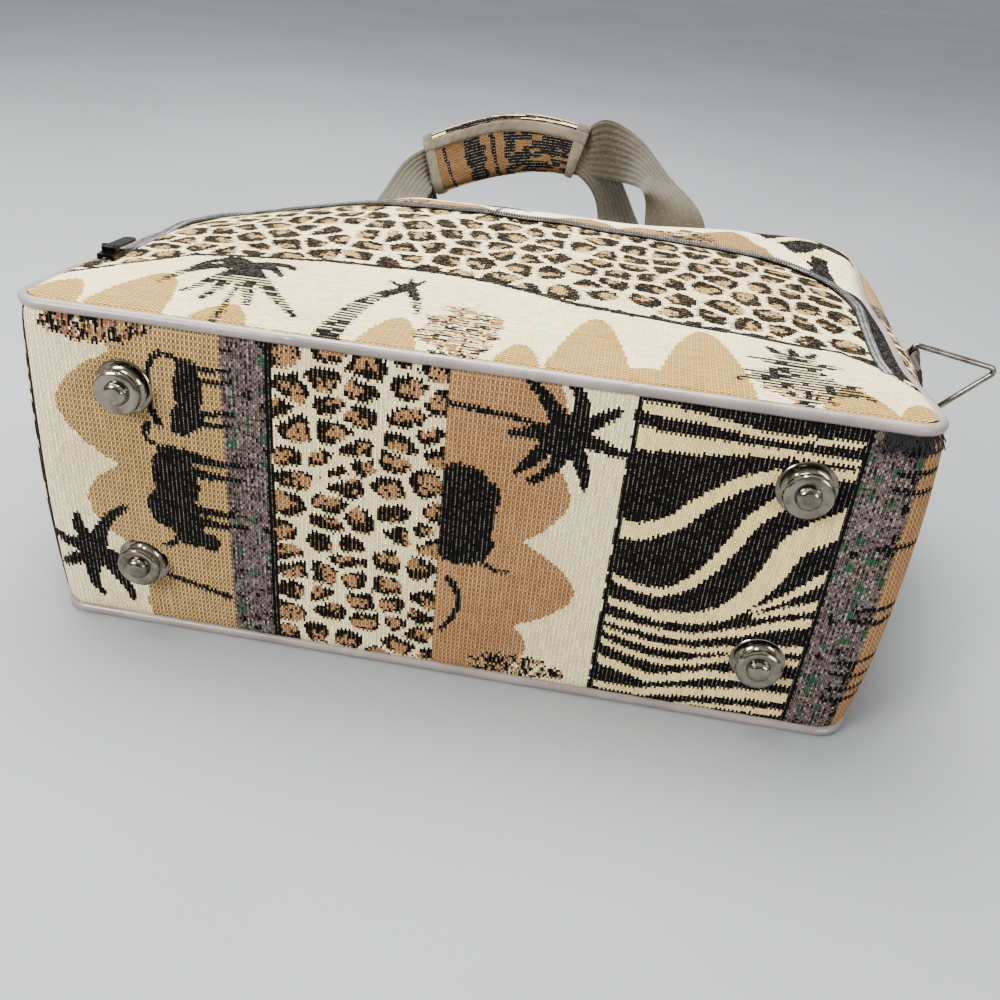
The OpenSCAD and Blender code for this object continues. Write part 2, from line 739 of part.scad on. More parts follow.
function strap_ring(route, i) =
    let (p = route[i][0],
         t = heading(route, i),
         w = unit(route[i][1] - (route[i][1] * t) * t),
         n = cross(t, w))
    [for (c = [[1, 1], [1, -1], [-1, -1], [-1, 1]]) p + c[0] * strap_w / 2 * w + c[1] * strap_t / 2 * n];

module strap(route) {
    polyhedron([for (i = [0:len(route) - 1]) each strap_ring(route, i)], tube_faces(len(route), 4));
}

module strap_front() {
    color(webbing)
        strap(strap_route(strap_front_z, 1, front_right_pull, front_left_pull));
}

module strap_back() {
    color(webbing)
        strap(strap_route(strap_back_z, -1, back_right_pull, back_left_pull));
}

wrap_route = [for (i = [0:steps_wrap]) [wrap_axis(i / steps_wrap), wrap_across]];

function signed_root(v) = sign(v) * sqrt(abs(v));

// Flat oval ring of the wrap at station i, a margin outside its hollow
function wrap_ring(i, margin) =
    let (t = heading(wrap_route, i),
         w = unit(wrap_across - (wrap_across * t) * t),
         n = cross(t, w))
    [for (k = [0:wrap_sides - 1]) let (a = 360 * k / wrap_sides)
        wrap_route[i][0] + (wrap_in_w + margin) * signed_root(cos(a)) * w
            + (wrap_in_n + margin) * signed_root(sin(a)) * n];

module handle_wrap() {
    n = steps_wrap + 1;
    color(tapestry)
        polyhedron(concat([for (i = [0:n - 1]) each wrap_ring(i, wrap_t)],
                          [for (i = [0:n - 1]) each wrap_ring(i, 0)]),
                   sleeve_faces(n, wrap_sides));
}

function binding_ring(i) =
    let (t = heading(wrap_route, i),
         w = unit(wrap_across - (wrap_across * t) * t),
         n = -cross(t, w),
         low = wrap_in_n + wrap_t + layer_gap)
    [for (c = [[1, 0], [1, 1], [0, 1], [0, 0]])
        wrap_route[i][0] + (c[0] * binding_w + binding_inset) * w + (low + c[1] * binding_t) * n];

module wrap_binding() {
    n = steps_wrap + 1;
    color(webbing)
        polyhedron([for (i = [0:n - 1]) each binding_ring(i)], tube_faces(n, 4));
}

// Bent part of a ring's wire in the x-y plane, from one end of its bar over the point to the other end
function ring_bend(i) =
    let (d = ring_dirs[i], turn = ring_turns[i], left = [-d[1], d[0]],
         centre = ring_corners[i] - ring_backs[i] * d + ring_bend_r * left,
         from = atan2(-left[1], -left[0]))
    [for (k = [0:steps_bend]) let (a = from + turn * k / steps_bend)
        [centre + ring_bend_r * [cos(a), sin(a)], [cos(a), sin(a)]]];

function ring_bow() = concat(
    [[[0, -ring_straight / 2 + ring_wire_d], [-1, 0]]],
    ring_bend(0), ring_bend(1), ring_bend(2),
    [[[0, ring_straight / 2 - ring_wire_d], [-1, 0]]]);

module ring_wire() {
    bow = ring_bow();
    r = ring_wire_r - pin_gap;
    translate([0, -ring_straight / 2, 0])
        rotate([-90, 0, 0])
            cylinder(r = ring_wire_r, h = ring_straight);
    polyhedron(
        [for (p = bow, k = [0:wire_sides - 1]) let (a = 360 * k / wire_sides)
            [p[0][0] + r * cos(a) * p[1][0], p[0][1] + r * cos(a) * p[1][1], r * sin(a)]],
        tube_faces(len(bow), wire_sides));
}

// Frame of the right ring: bar along z, point along +x
module at_ring() {
    translate([ring_at_x, ring_at_y, ring_z])
        rotate([0, -ring_lean, 0])
            children();
}

module ring(turn) {
    color(metal)
        at_ring()
            rotate([90, 0, turn])
                ring_wire();
}

module ring_tab() {
    color(webbing)
        at_ring()
            difference() {
                union() {
                    translate([0, 0, -tab_w / 2])
                        cylinder(r = tab_outer_r, h = tab_w);
                    translate([-tab_outer_r, -tab_tail_l, -tab_w / 2])
                        cube([2 * tab_t, tab_tail_l, tab_w]);
                }
                translate([0, 0, -tab_w])
                    cylinder(r = tab_bore_r, h = 2 * tab_w);
            }
}

module ring_left() {
    mirror([1, 0, 0])
        ring(ring_left_turn);
}

module ring_right() {
    ring(0);
}

module ring_tab_left() {
    mirror([1, 0, 0])
        ring_tab();
}

module ring_tab_right() {
    ring_tab();
}

back_panel();
gusset_left();
gusset_right();
piping_back();
piping_front();
base_board();
feet();
foot_washers();
pocket_wall();
pocket_panel();
front_border();
pocket_zip_tape();
pocket_zip_coil();
pocket_zip_slider();
pocket_zip_pull();
top_strip_front();
top_strip_back();
main_zip_tape();
main_zip_coil();
main_zip_slider();
main_zip_pull();
strap_front();
strap_back();
handle_wrap();
wrap_binding();
ring_left();
ring_right();
ring_tab_left();
ring_tab_right();
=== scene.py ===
"""Looks of a soft carpet bag that lies on its back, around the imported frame.

Lengths are in millimetres until a mesh is made. x runs to the right, y from the base to the top
and z up from the floor.
"""
import json
import math

import bmesh
import bpy
import numpy as np
from mathutils import Matrix, Vector


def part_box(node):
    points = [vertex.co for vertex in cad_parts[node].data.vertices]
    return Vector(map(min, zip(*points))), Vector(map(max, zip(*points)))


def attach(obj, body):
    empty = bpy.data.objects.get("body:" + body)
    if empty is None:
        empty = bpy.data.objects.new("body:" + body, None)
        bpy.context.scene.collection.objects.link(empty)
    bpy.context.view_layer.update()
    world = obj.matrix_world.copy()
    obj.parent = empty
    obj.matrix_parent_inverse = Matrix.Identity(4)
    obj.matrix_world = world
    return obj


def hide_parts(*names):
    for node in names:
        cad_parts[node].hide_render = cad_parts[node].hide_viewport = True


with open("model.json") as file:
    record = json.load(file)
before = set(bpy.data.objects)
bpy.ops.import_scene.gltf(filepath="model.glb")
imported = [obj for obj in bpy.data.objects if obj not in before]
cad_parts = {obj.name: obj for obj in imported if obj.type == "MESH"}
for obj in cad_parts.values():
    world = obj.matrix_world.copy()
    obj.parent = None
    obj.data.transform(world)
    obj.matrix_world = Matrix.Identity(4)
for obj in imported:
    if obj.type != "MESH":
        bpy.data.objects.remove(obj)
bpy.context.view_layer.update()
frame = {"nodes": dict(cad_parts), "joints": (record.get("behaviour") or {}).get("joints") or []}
MM = 0.001


def node_box(name):
    low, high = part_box(name)
    return np.array(low) / MM, np.array(high) / MM


# Body, read from the piping loops of the frame
BACK_LOW, BACK_HIGH = node_box("piping_back")
FRONT_LOW, FRONT_HIGH = node_box("piping_front")
PIPING_R = BACK_HIGH[2] / 2
HALF_W = BACK_HIGH[0] - PIPING_R
BASE_Y = BACK_LOW[1] + PIPING_R
TOP_Y = BACK_HIGH[1] - PIPING_R
BODY_H = TOP_Y - BASE_Y
FRONT_BASE_Z = FRONT_HIGH[2] - PIPING_R
FRONT_TOP_Z = FRONT_LOW[2] + PIPING_R

# Body sizes that the part's source also names
BASE_CORNER_R = 12
TOP_CORNER_R = 30
FABRIC_T = 2
SIDE_SWELL = 34
SIDE_SWELL_PEAK = 0.7
FRONT_SWELL = 17
FRONT_SWELL_PEAK = 0.75
FRONT_LIFT = 2.2
BASE_SEAM_X = -4
POCKET_ZIP_X = HALF_W - 12
POCKET_ZIP_H = 172
POCKET_ZIP_END_H = 50
POCKET_ARCH_R = 45
POCKET_ZIP_GAP = 6

# Powers that make a swell fuller or flatter
SIDE_FULLNESS = 0.8
FRONT_RISE = 1.8
FRONT_FLATNESS = 3.2
FRONT_FULLNESS = 0.7

# Sag of the empty bag at its front edges and at its top corners
LEFT_DIP = 6
RIGHT_DIP = 3
LEFT_CORNER_DIP = 14
RIGHT_CORNER_RISE = 11

# Panel edges: how far they lie from the middle of the piping, and how they tuck in there
SEAM_IN = 0.5 * PIPING_R
TUCK = 1.7
TUCK_REACH = 1.6

# Weave: width of a rib, which runs across the way the animals stand, and length of a pick along it
RIB = 0.9
PICK = 1.2


def mix(a, b, t):
    return a + (b - a) * t


def smooth(t):
    t = np.clip(t, 0, 1)
    return t * t * (3 - 2 * t)


def swell(t, centre, width):
    return np.exp(-(((t - centre) / width) ** 2))


def bent(a, b, c, t):
    """Point at share t of a line from a to c that is drawn towards b."""
    return (1 - t) ** 2 * a + 2 * t * (1 - t) * b + t * t * c


def hashed(i, j, seed):
    """A fixed pseudo-random number from 0 to 1 for each pair of whole numbers."""
    v = np.sin(i * 127.1 + j * 311.7 + seed * 74.7) * 43758.5453
    return v - np.floor(v)


def noise(a, b, seed):
    """Smooth noise from 0 to 1 on a unit lattice."""
    i, j = np.floor(a), np.floor(b)
    s, t = smooth(a - i), smooth(b - j)
    low = mix(hashed(i, j, seed), hashed(i + 1, j, seed), s)
    high = mix(hashed(i, j + 1, seed), hashed(i + 1, j + 1, seed), s)
    return mix(low, high, t)


# Shape of the body


def front_edge_z(y):
    return mix(FRONT_BASE_Z, FRONT_TOP_Z, (y - BASE_Y) / BODY_H)


def back_edge_z(y):
    return 0 * y + PIPING_R


def side_bulge(y):
    q = np.clip((y - BASE_Y) / BODY_H, 0, 1)
    rising = np.sin(math.pi / 2 * np.minimum(q / SIDE_SWELL_PEAK, 1))
    falling = np.sin(math.pi / 2 * np.minimum((1 - q) / (1 - SIDE_SWELL_PEAK), 1))
    return SIDE_SWELL * np.minimum(rising, falling) ** SIDE_FULLNESS


def front_mid_z(x, y):
    """Height of the middle of the front fabric."""
    q = np.clip((y - BASE_Y - PIPING_R) / (BODY_H - 2 * PIPING_R), 0, 1)
    rising = np.sin(math.pi / 2 * np.minimum(q / FRONT_SWELL_PEAK, 1)) ** FRONT_RISE
    beyond = np.clip((q - FRONT_SWELL_PEAK) / (1 - FRONT_SWELL_PEAK), 0, 1)
    along = rising * np.sqrt(1 - beyond**2)
    across = np.clip(1 - (np.abs(x) / (HALF_W - PIPING_R)) ** FRONT_FLATNESS, 0, 1) ** FRONT_FULLNESS
    return front_edge_z(y) + FRONT_LIFT + FRONT_SWELL * across * along


def settle(points):
    """The empty bag's own sag: its left front edge dips and its right one climbs towards the top corner."""
    x, y, z = np.moveaxis(points, -1, 0)
    h = y - BASE_Y
    left = smooth((-x - 40) / (HALF_W - 40))
    right = smooth((x - 40) / (HALF_W - 40))
    dip = LEFT_DIP * left * swell(h, 165, 42) + RIGHT_DIP * right * swell(h, 75, 30)
    dip = dip + LEFT_CORNER_DIP * smooth((-x - 60) / 80) * smooth((h - 150) / 60)
    rise = RIGHT_CORNER_RISE * right * smooth((h - 165) / 60)
    share = np.clip(z / FRONT_BASE_Z, 0, 1) ** 1.4
    return np.stack([x, y, z + (rise - dip) * share], axis=-1)


def spline(places, count):
    """A smooth line through places with count points on each stretch."""
    p = np.array(places, float)
    p = np.concatenate([2 * p[:1] - p[1:2], p, 2 * p[-1:] - p[-2:-1]])
    t = (np.arange(count) / count)[:, None]
    rows = []
    for k in range(1, len(p) - 2):
        a, b, c, d = p[k - 1], p[k], p[k + 1], p[k + 2]
        rows.append(b + 0.5 * t * (c - a + t * (2 * a - 5 * b + 4 * c - d + t * (3 * (b - c) + d - a))))
    return np.concatenate(rows + [p[-2:-1]])


def outline(s, start):
    """Point and outward direction on the body's right-hand outline, s along it from x = start on the base."""
    straight = HALF_W - BASE_CORNER_R - start
    low_bend = BASE_CORNER_R * math.pi / 2
    side = BODY_H - BASE_CORNER_R - TOP_CORNER_R
    a = np.clip((s - straight) / BASE_CORNER_R, 0, math.pi / 2)
    b = np.clip((s - straight - low_bend - side) / TOP_CORNER_R, 0, math.pi / 2)
    along_base = np.minimum(s, straight)
    up = np.clip(s - straight - low_bend, 0, side)
    over = np.maximum(s - straight - low_bend - side - TOP_CORNER_R * math.pi / 2, 0)
    x = start + along_base + BASE_CORNER_R * np.sin(a) - TOP_CORNER_R * (1 - np.cos(b)) - over
    y = BASE_Y + BASE_CORNER_R * (1 - np.cos(a)) + up + TOP_CORNER_R * np.sin(b)
    return x, y, np.sin(a + b), -np.cos(a + b)


def outline_length(start):
    """Length from x = start on the base to the end of the top corner."""
    corners = (BASE_CORNER_R + TOP_CORNER_R) * (math.pi / 2 - 1)
    return HALF_W - start + BODY_H + corners - BASE_CORNER_R


# Woven picture: each cell of a cloth gets a yarn
CREAM, TAN, BROWN, BLACK, STRAW, MAUVE, WHITE, GREEN, ROSE, INK, SAND, SHADED_UMBER = range(12)

# Yarn colours as sRGB bytes: the yarn itself, the yarn that shows between its threads, and how much of that
# shows; a share above 1 shows on every second rib only
YARNS = {
    CREAM: ((255, 251, 214), (214, 184, 108), 0.6),
    TAN: ((124, 88, 40), (236, 214, 160), 0.66),
    BROWN: ((132, 90, 54), (214, 178, 132), 0.58),
    BLACK: ((11, 11, 12), (158, 151, 134), 1.62),
    STRAW: ((248, 230, 166), (222, 196, 124), 0.5),
    MAUVE: ((116, 102, 100), (38, 35, 36), 0.6),
    WHITE: ((166, 157, 151), (70, 62, 62), 0.6),
    GREEN: ((24, 78, 48), (78, 92, 74), 0.4),
    ROSE: ((168, 116, 94), (60, 46, 42), 0.5),
    INK: ((10, 10, 11), (186, 158, 110), 1.62),
    SAND: ((138, 102, 38), (228, 204, 138), 0.66),
    # The wrap's brown yarn, darkened to paint in the shade on the wrap's front
    SHADED_UMBER: ((90, 66, 42), (138, 108, 76), 0.55),
}

# Share of the yarn between in every second rib of a ribbed cloth
CREAM_TINGE = 0.56
YARN_TINGE = 0.3

# Unevenness of the yarn from cell to cell and of the cloth over a few centimetres
CELL_SHADE = 0.2
CLOTH_SHADE = 0.1

# Drawn lines: steps of a bent one, and half widths of a palm's frond at its root and tip
CURVE_STEPS = 8
FROND_ROOT = 4.4
FROND_TIP = 1.4

# Tufts in the grass
TUFT_W = 6.5
TUFT_H = 6.3

# Pale zebra stripes in a band: half widths at both ends in millimetres, then places as shares across it
# and up it
BAND = 84
BAND_RISE = 148
ZEBRA = (
    (2.2, 1.0, ((-0.02, 0.972), (0.3, 0.96), (0.6, 0.942), (1.02, 0.955))),
    (5.2, 1.0, ((-0.02, 0.888), (0.15, 0.885), (0.38, 0.89), (0.6, 0.898), (1.02, 0.9))),
    (4.2, 2.0, ((0.0, 0.6), (0.12, 0.605), (0.26, 0.655), (0.38, 0.735), (0.54, 0.805), (0.76, 0.848),
                (1.02, 0.868))),
    (1.6, 3.4, ((-0.02, 0.448), (0.16, 0.412), (0.3, 0.425), (0.42, 0.485), (0.52, 0.585), (0.6, 0.69),
                (0.72, 0.77))),
    (1.5, 6.0, ((-0.02, 0.36), (0.2, 0.335), (0.36, 0.335), (0.52, 0.36), (0.64, 0.42), (0.74, 0.52),
                (0.82, 0.64), (1.04, 0.74))),
    (1.0, 2.2, ((0.7, 0.4), (0.82, 0.455), (0.92, 0.51), (1.02, 0.57))),
    (1.2, 2.4, ((0.72, 0.385), (0.86, 0.42), (1.02, 0.465))),
    (1.6, 2.2, ((-0.02, 0.292), (0.2, 0.277), (0.45, 0.275), (0.66, 0.318), (0.82, 0.36), (1.02, 0.4))),
    (1.3, 2.0, ((-0.02, 0.252), (0.3, 0.224), (0.52, 0.232), (0.74, 0.265), (1.02, 0.3))),
    (1.5, 1.8, ((-0.02, 0.212), (0.16, 0.184), (0.34, 0.168), (0.5, 0.184), (0.7, 0.222), (1.02, 0.245))),
    (2.6, 2.0, ((-0.02, 0.138), (0.14, 0.116), (0.28, 0.098), (0.44, 0.12), (0.6, 0.148), (1.02, 0.172))),
    (1.8, 3.0, ((-0.02, 0.035), (0.2, 0.032), (0.36, 0.052), (0.58, 0.078), (0.8, 0.094), (1.02, 0.108))),
    (1.0, 2.0, ((0.45, 0.01), (0.7, 0.03), (1.02, 0.042))),
)


def linear(rgb):
    """An sRGB colour in bytes as linear floats."""
    c = np.array(rgb, float) / 255
    return np.where(c <= 0.04045, c / 12.92, ((c + 0.055) / 1.055) ** 2.4)


def placer(along, up, size, facing=1):
    """A function that carries places from an animal's own measures to the cloth."""

    def at(a, u):
        return along + facing * size * a, up + size * u

    return at


class Cloth:
    """A woven picture on cells with places (along, up) in millimetres; up is the way its animals stand."""

    def __init__(self, along, up, ground=CREAM, ribbed=False):
        self.rib = np.floor(up / RIB)
        self.pick = np.floor(along / PICK)
        odd = np.mod(self.rib, 2) >= 1
        comb = np.where(odd, -1, 1) * (0.2 + 0.6 * hashed(self.rib, np.floor(along / 5), 2))
        self.even = along
        self.along = along + comb
        self.up = up
        self.yarn = np.full(along.shape, ground)
        self.tinged = ribbed & odd

    def fill(self, mask, yarn):
        self.yarn[mask] = yarn

    def between(self, low, high):
        return (self.up >= low) & (self.up < high)

    def line(self, at, width=2.8):
        ragged = 0.5 * (noise(self.along / 3, self.up, 5) - 0.5)
        self.fill(np.abs(self.up - at) < width / 2 + ragged, BLACK)

    def hills(self, low, floor, humps, yarn, pointed=0.45):
        """Rolling hills above low: each hump is (centre along, half width, height)."""
        top = np.full(self.along.shape, float(floor))
        for centre, half, height in humps:
            near = np.clip(np.abs(self.even - centre) / (1.25 * half), 0, 1)
            top = np.maximum(top, floor + (height - floor) * (0.5 + 0.5 * np.cos(math.pi * near)) ** pointed)
        top = top + 1.2 * (noise(self.even / 3, self.up / 9, 3) - 0.5)
        self.fill((self.up >= low) & (self.up < low + top), yarn)

    def stroke(self, places, wide, thin, at=None):
        """Mask of a line through places, its half width from wide to thin; at replaces the cells' places."""
        along, up = (self.along, self.up) if at is None else at
        mask = np.zeros(along.shape, bool)
        last = len(places) - 1
        for k in range(last):
            (a0, u0), (a1, u1) = places[k], places[k + 1]
            run = max((a1 - a0) ** 2 + (u1 - u0) ** 2, 1e-9)
            t = np.clip(((along - a0) * (a1 - a0) + (up - u0) * (u1 - u0)) / run, 0, 1)
            gap = np.hypot(along - a0 - t * (a1 - a0), up - u0 - t * (u1 - u0))
            mask |= gap < mix(wide, thin, (k + t) / last)
        return mask

    def limb(self, start, bend, end, wide, thin):
        """A black line that bends and goes from half width wide to thin."""
        t = np.linspace(0, 1, CURVE_STEPS + 1)[:, None]
        start, bend, end = np.array([start, bend, end], float)
        self.fill(self.stroke(bent(start, bend, end, t), wide, thin), BLACK)

    def blob(self, along, up, half_along, half_up, turn=0.0):
        """A black oval with a ragged edge, turned by an angle in degrees."""
        da, du = self.along - along, self.up - up
        c, s = math.cos(math.radians(turn)), math.sin(math.radians(turn))
        ragged = 0.22 * (noise(self.along / 2.2, self.up / 2.2, 8) - 0.5)
        reach = ((da * c + du * s) / half_along) ** 2 + ((du * c - da * s) / half_up) ** 2
        self.fill(reach < 1 + ragged, BLACK)

    def palm(self, foot, crown, reach, fronds):
        """A palm: fronds lists (direction in degrees, length share, droop share)."""
        middle = (mix(foot[0], crown[0], 0.5) + 0.06 * reach, mix(foot[1], crown[1], 0.5))
        self.limb(foot, middle, crown, 1.5, 1.0)
        for turn, share, droop in fronds:
            c, s = math.cos(math.radians(turn)), math.sin(math.radians(turn))
            r = reach * share
            bend = (crown[0] + 0.7 * r * c, crown[1] + 0.7 * r * s + 0.4 * r * droop)
            end = (crown[0] + r * c, crown[1] + r * s - 0.6 * r * droop)
            self.limb(crown, bend, end, FROND_ROOT, FROND_TIP)

    def bush(self, along, up, half_along, half_up, seed):
        inside = ((self.along - along) / half_along) ** 2 + ((self.up - up) / half_up) ** 2
        grain = noise(self.along / 2.6, self.up / 1.5, seed)
        mass = noise(self.along / 7, self.up / 6, seed + 1)
        dense = inside < 0.45 + 0.9 * mass
        self.fill(dense & (grain > 0.42) & (grain < 0.6), TAN)
        self.fill(dense & (grain >= 0.74) & (mass > 0.5), ROSE)
        self.fill(dense & ((grain < 0.38) | ((grain > 0.6) & (grain < 0.74))), BLACK)

    def grazer(self, along, up, size, facing):
        """A heavy grazing animal with its head down; along and up are the middle of its belly."""
        at = placer(along, up, size, facing)
        self.blob(*at(-4, 3), 15 * size, 9 * size, -6 * facing)
        self.blob(*at(9, 5), 10 * size, 10 * size)
        self.blob(*at(19, -1), 7 * size, 6 * size, -55 * facing)
        self.blob(*at(22, -9), 4 * size, 4 * size)
        self.limb(at(20, 3), at(27, 6), at(26, 11), 1.6 * size, 0.7)
        for foot in (-15, -9, 7, 12):
            self.limb(at(foot, -1), at(foot + 2, -10), at(foot + 1, -24), 2.8 * size, 0.9)
        self.limb(at(-16, 7), at(-21, 16), at(-24, 13), 1.2, 1.0)
        self.blob(*at(-25, 12), 2.4 * size, 1.8 * size)

    def cat(self, along, up, size, facing):
        """A walking cat with its tail over its back."""
        at = placer(along, up, size, facing)
        self.blob(*at(-3, 0), 13 * size, 6 * size)
        self.blob(*at(9, 1), 7 * size, 7 * size)
        self.blob(*at(14, 4), 4.5 * size, 4.5 * size)
        for foot in (-13, -8, 6, 11):
            self.limb(at(foot, -2), at(foot + 1, -9), at(foot - 1, -18), 1.9 * size, 0.8)
        self.limb(at(-14, 1), at(-22, 14), at(-8, 16), 1.2, 1.1)
        self.limb(at(-8, 16), at(6, 19), at(14, 13), 1.2, 1.8)

    def giraffe(self, along, up, size):
        """Neck and head of a giraffe that rises from the bottom edge."""
        at = placer(along, up, size)
        self.limb(at(0, -4), at(-1, 44), at(18, 62), 5.6 * size, 2.6 * size)
        self.limb(at(17, 64), at(23, 58), at(28, 36), 3.8 * size, 1.2 * size)
        for root, tip in (((15, 63), (9, 68)), ((18, 66), (17, 73)), ((20, 66), (23, 72))):
            self.fill(self.stroke([at(*root), at(*tip)], 1.7, 0.8), BLACK)

    def leopard(self, where, seed, pitch=(11.2, 15.4), gap=1.15, ring=2.5, middle=BROWN):
        """Rosettes that fill a jittered lattice up to a pale gap: a ring of uneven width round a middle."""
        along, up = self.along / pitch[0], self.up / pitch[1]
        scale = math.sqrt(pitch[0] * pitch[1])
        first = np.full(along.shape, 99.0)
        second = first.copy()
        turn = np.zeros(along.shape)
        for dj in range(-2, 3):
            j = np.floor(up) + dj
            shift = 0.5 * np.mod(j, 2)
            for di in range(-2, 3):
                i = np.floor(along - shift) + di
                da = along - (i + 0.5 + shift + 0.8 * (hashed(i, j, seed) - 0.5))
                du = up - (j + 0.5 + 0.7 * (hashed(i, j, seed + 1) - 0.5))
                r = scale * np.hypot(da, du)
                closer = r < first
                second = np.where(closer, first, np.minimum(second, r))
                turn = np.where(closer, np.arctan2(du, da) + 6.28 * hashed(i, j, seed + 2), turn)
                first = np.minimum(first, r)
        ragged = 1.5 * (noise(self.along / 2.4, self.up / 2.0, seed + 9) - 0.5)
        inside = np.minimum((second - first) / 2, 0.66 * scale - first) + ragged
        width = ring * (0.9 + 0.75 * np.cos(turn) + 0.35 * np.cos(3 * turn + 1))
        dashes = hashed(self.rib, self.pick, seed + 10) < 0.16
        self.fill(where, CREAM)
        self.fill(where & (inside > gap), middle)
        self.fill(where & (inside > gap) & ((inside < gap + width) | dashes), INK)

    def zebra(self, where, across, rise):
        """Flowing pale stripes on black: across and rise are the place in the band, each from 0 to 1."""
        drift = 0.006 * (noise(across * 7, rise * 11, 12) - 0.5)
        comb = (self.along - self.even) / BAND_RISE
        at = (across * BAND, (rise + comb + drift) * BAND_RISE)
        self.fill(where, BLACK)
        for wide, thin, places in ZEBRA:
            line = spline(places, 5) * (BAND, BAND_RISE)
            self.fill(where & self.stroke(line, wide, thin, at), STRAW)

    def grass(self, where, seed):
        """Ribs of mixed yarns with small green and black tufts."""
        draw = hashed(self.rib, self.pick, seed)
        odd = np.mod(self.rib, 2) >= 1
        self.fill(where, MAUVE)
        self.fill(where & ~odd & (draw < 0.56), BLACK)
        self.fill(where & odd & (draw > 0.74), WHITE)
        row = np.floor(self.up / TUFT_H)
        place = self.along / TUFT_W + 0.37 * row
        tall = 0.5 + 0.7 * hashed(np.floor(place), row, seed + 1)
        tuft = TUFT_H * (1 - np.abs(2 * np.mod(place, 1) - 1)) * tall
        rooted = where & (np.mod(self.up, TUFT_H) < tuft - 1.2) & (draw > 0.2)
        kind = hashed(np.floor(place), row, seed + 2)
        self.fill(rooted & (kind > 0.6), GREEN)
        self.fill(rooted & (kind < 0.22), BLACK)

    def colours(self):
        """Colour of the yarn and of the yarn between, with its share as alpha, cell by cell."""
        shade = 1 + CELL_SHADE * (hashed(self.pick, self.rib, 21) - 0.5)
        shade = shade * (1 + CLOTH_SHADE * (noise(self.even / 26, self.up / 26, 22) - 0.5))
        thread = np.ones(self.along.shape + (4,))
        fleck = thread.copy()
        for yarn, (main, between, share) in YARNS.items():
            mask = self.yarn == yarn
            second = mix(linear(main), linear(between), CREAM_TINGE if yarn == CREAM else YARN_TINGE)
            tint = np.where(self.tinged[mask, None] & (share < 1), second, linear(main))
            thread[mask, :3] = tint * shade[mask, None]
            fleck[mask] = (*linear(between), share)
        return thread, fleck


# Meshes


def cell_corners(grid):
    """The four corners of each cell of a grid, in order round it."""
    return np.stack([grid[:-1, :-1], grid[1:, :-1], grid[1:, 1:], grid[:-1, 1:]], axis=2)


def cell_middles(grid):
    a, b, c, d = np.moveaxis(cell_corners(grid), 2, 0)
    return (a + b + c + d) / 4


def grid_piece(name, points, uv=None, cloth=None, tube=False, flip=False, capped=False):
    """An object from rows of points in millimetres; a tube joins each row's end to its start."""
    n, m = points.shape[:2]
    index = np.arange(n * m).reshape(n, m)
    if tube:
        index = np.concatenate([index, index[:, :1]], axis=1)
    step = -1 if flip else 1
    quads = cell_corners(index).reshape(-1, 4)[:, ::step]
    mesh = bpy.data.meshes.new(name)
    mesh.vertices.add(n * m)
    mesh.vertices.foreach_set("co", (points * MM).astype(np.float32).ravel())
    mesh.loops.add(quads.size)
    mesh.loops.foreach_set("vertex_index", quads.astype(np.int32).ravel())
    mesh.polygons.add(len(quads))
    mesh.polygons.foreach_set("loop_start", np.arange(0, quads.size, 4, dtype=np.int32))
    mesh.polygons.foreach_set("use_smooth", np.ones(len(quads), bool))
    mesh.update(calc_edges=True)
    if uv is not None:
        if tube:
            uv = np.concatenate([uv, uv[:, -1:] + uv[:, 1:2] - uv[:, :1]], axis=1)
        corners = cell_corners(uv).reshape(-1, 4, 2)[:, ::step]
        layer = mesh.uv_layers.new(name="weave")
        layer.data.foreach_set("uv", corners.astype(np.float32).ravel())
    if cloth is not None:
        for key, values in zip(("thread", "fleck"), cloth.colours()):
            layer = mesh.attributes.new(key, "FLOAT_COLOR", "CORNER")
            each = np.repeat(values.reshape(-1, 1, 4), 4, axis=1)
            layer.data.foreach_set("color", each.astype(np.float32).ravel())
    if capped:
        close_ends(mesh, index)
    return link(name, mesh)


def close_ends(mesh, index):
    """Closes the two ends of a tube with one face each."""
    work = bmesh.new()
    work.from_mesh(mesh)
    work.verts.ensure_lookup_table()
    for ring in (index[0, :-1], index[-1, :-1][::-1]):
        work.faces.new([work.verts[int(i)] for i in ring])
    bmesh.ops.recalc_face_normals(work, faces=work.faces)
    work.to_mesh(mesh)
    work.free()


def link(name, data):
    obj = bpy.data.objects.new(name, data)
    bpy.context.scene.collection.objects.link(obj)
    return obj


def bundle_piece(name, tubes):
    """One object from several tubes, each closed at both ends."""
    work = bmesh.new()
    for rows in tubes:
        rings = [[work.verts.new(p) for p in row] for row in rows * MM]
        for low, high in zip(rings, rings[1:]):
            for k in range(len(low)):
                work.faces.new((low[k - 1], low[k], high[k], high[k - 1]))
        work.faces.new(rings[0])
        work.faces.new(rings[-1])
    bmesh.ops.recalc_face_normals(work, faces=work.faces)
    for face in work.faces:
        face.smooth = True
    mesh = bpy.data.meshes.new(name)
    work.to_mesh(mesh)
    work.free()
    return link(name, mesh)


def swept(path, across, up, section):
    """Rows of points: section holds (across, up) offsets, carried along the path by its two directions."""
    sec = np.asarray(section, float)
    return path[:, None] + across[:, None] * sec[None, :, :1] + up[:, None] * sec[None, :, 1:]


def unit(v):
    return v / np.linalg.norm(v, axis=-1, keepdims=True)


def headings(path, closed=False):
    if closed:
        return unit(np.roll(path, -1, axis=0) - np.roll(path, 1, axis=0))
    return unit(np.gradient(path, axis=0))


def runs(path):
    """Length along a path up to each of its points."""
    return np.concatenate([[0], np.cumsum(np.linalg.norm(np.diff(path, axis=0), axis=1))])


def round_section(radius, sides):
    a = np.linspace(0, 2 * math.pi, sides, endpoint=False)
    return np.stack([radius * np.cos(a), radius * np.sin(a)], axis=-1)


# Materials


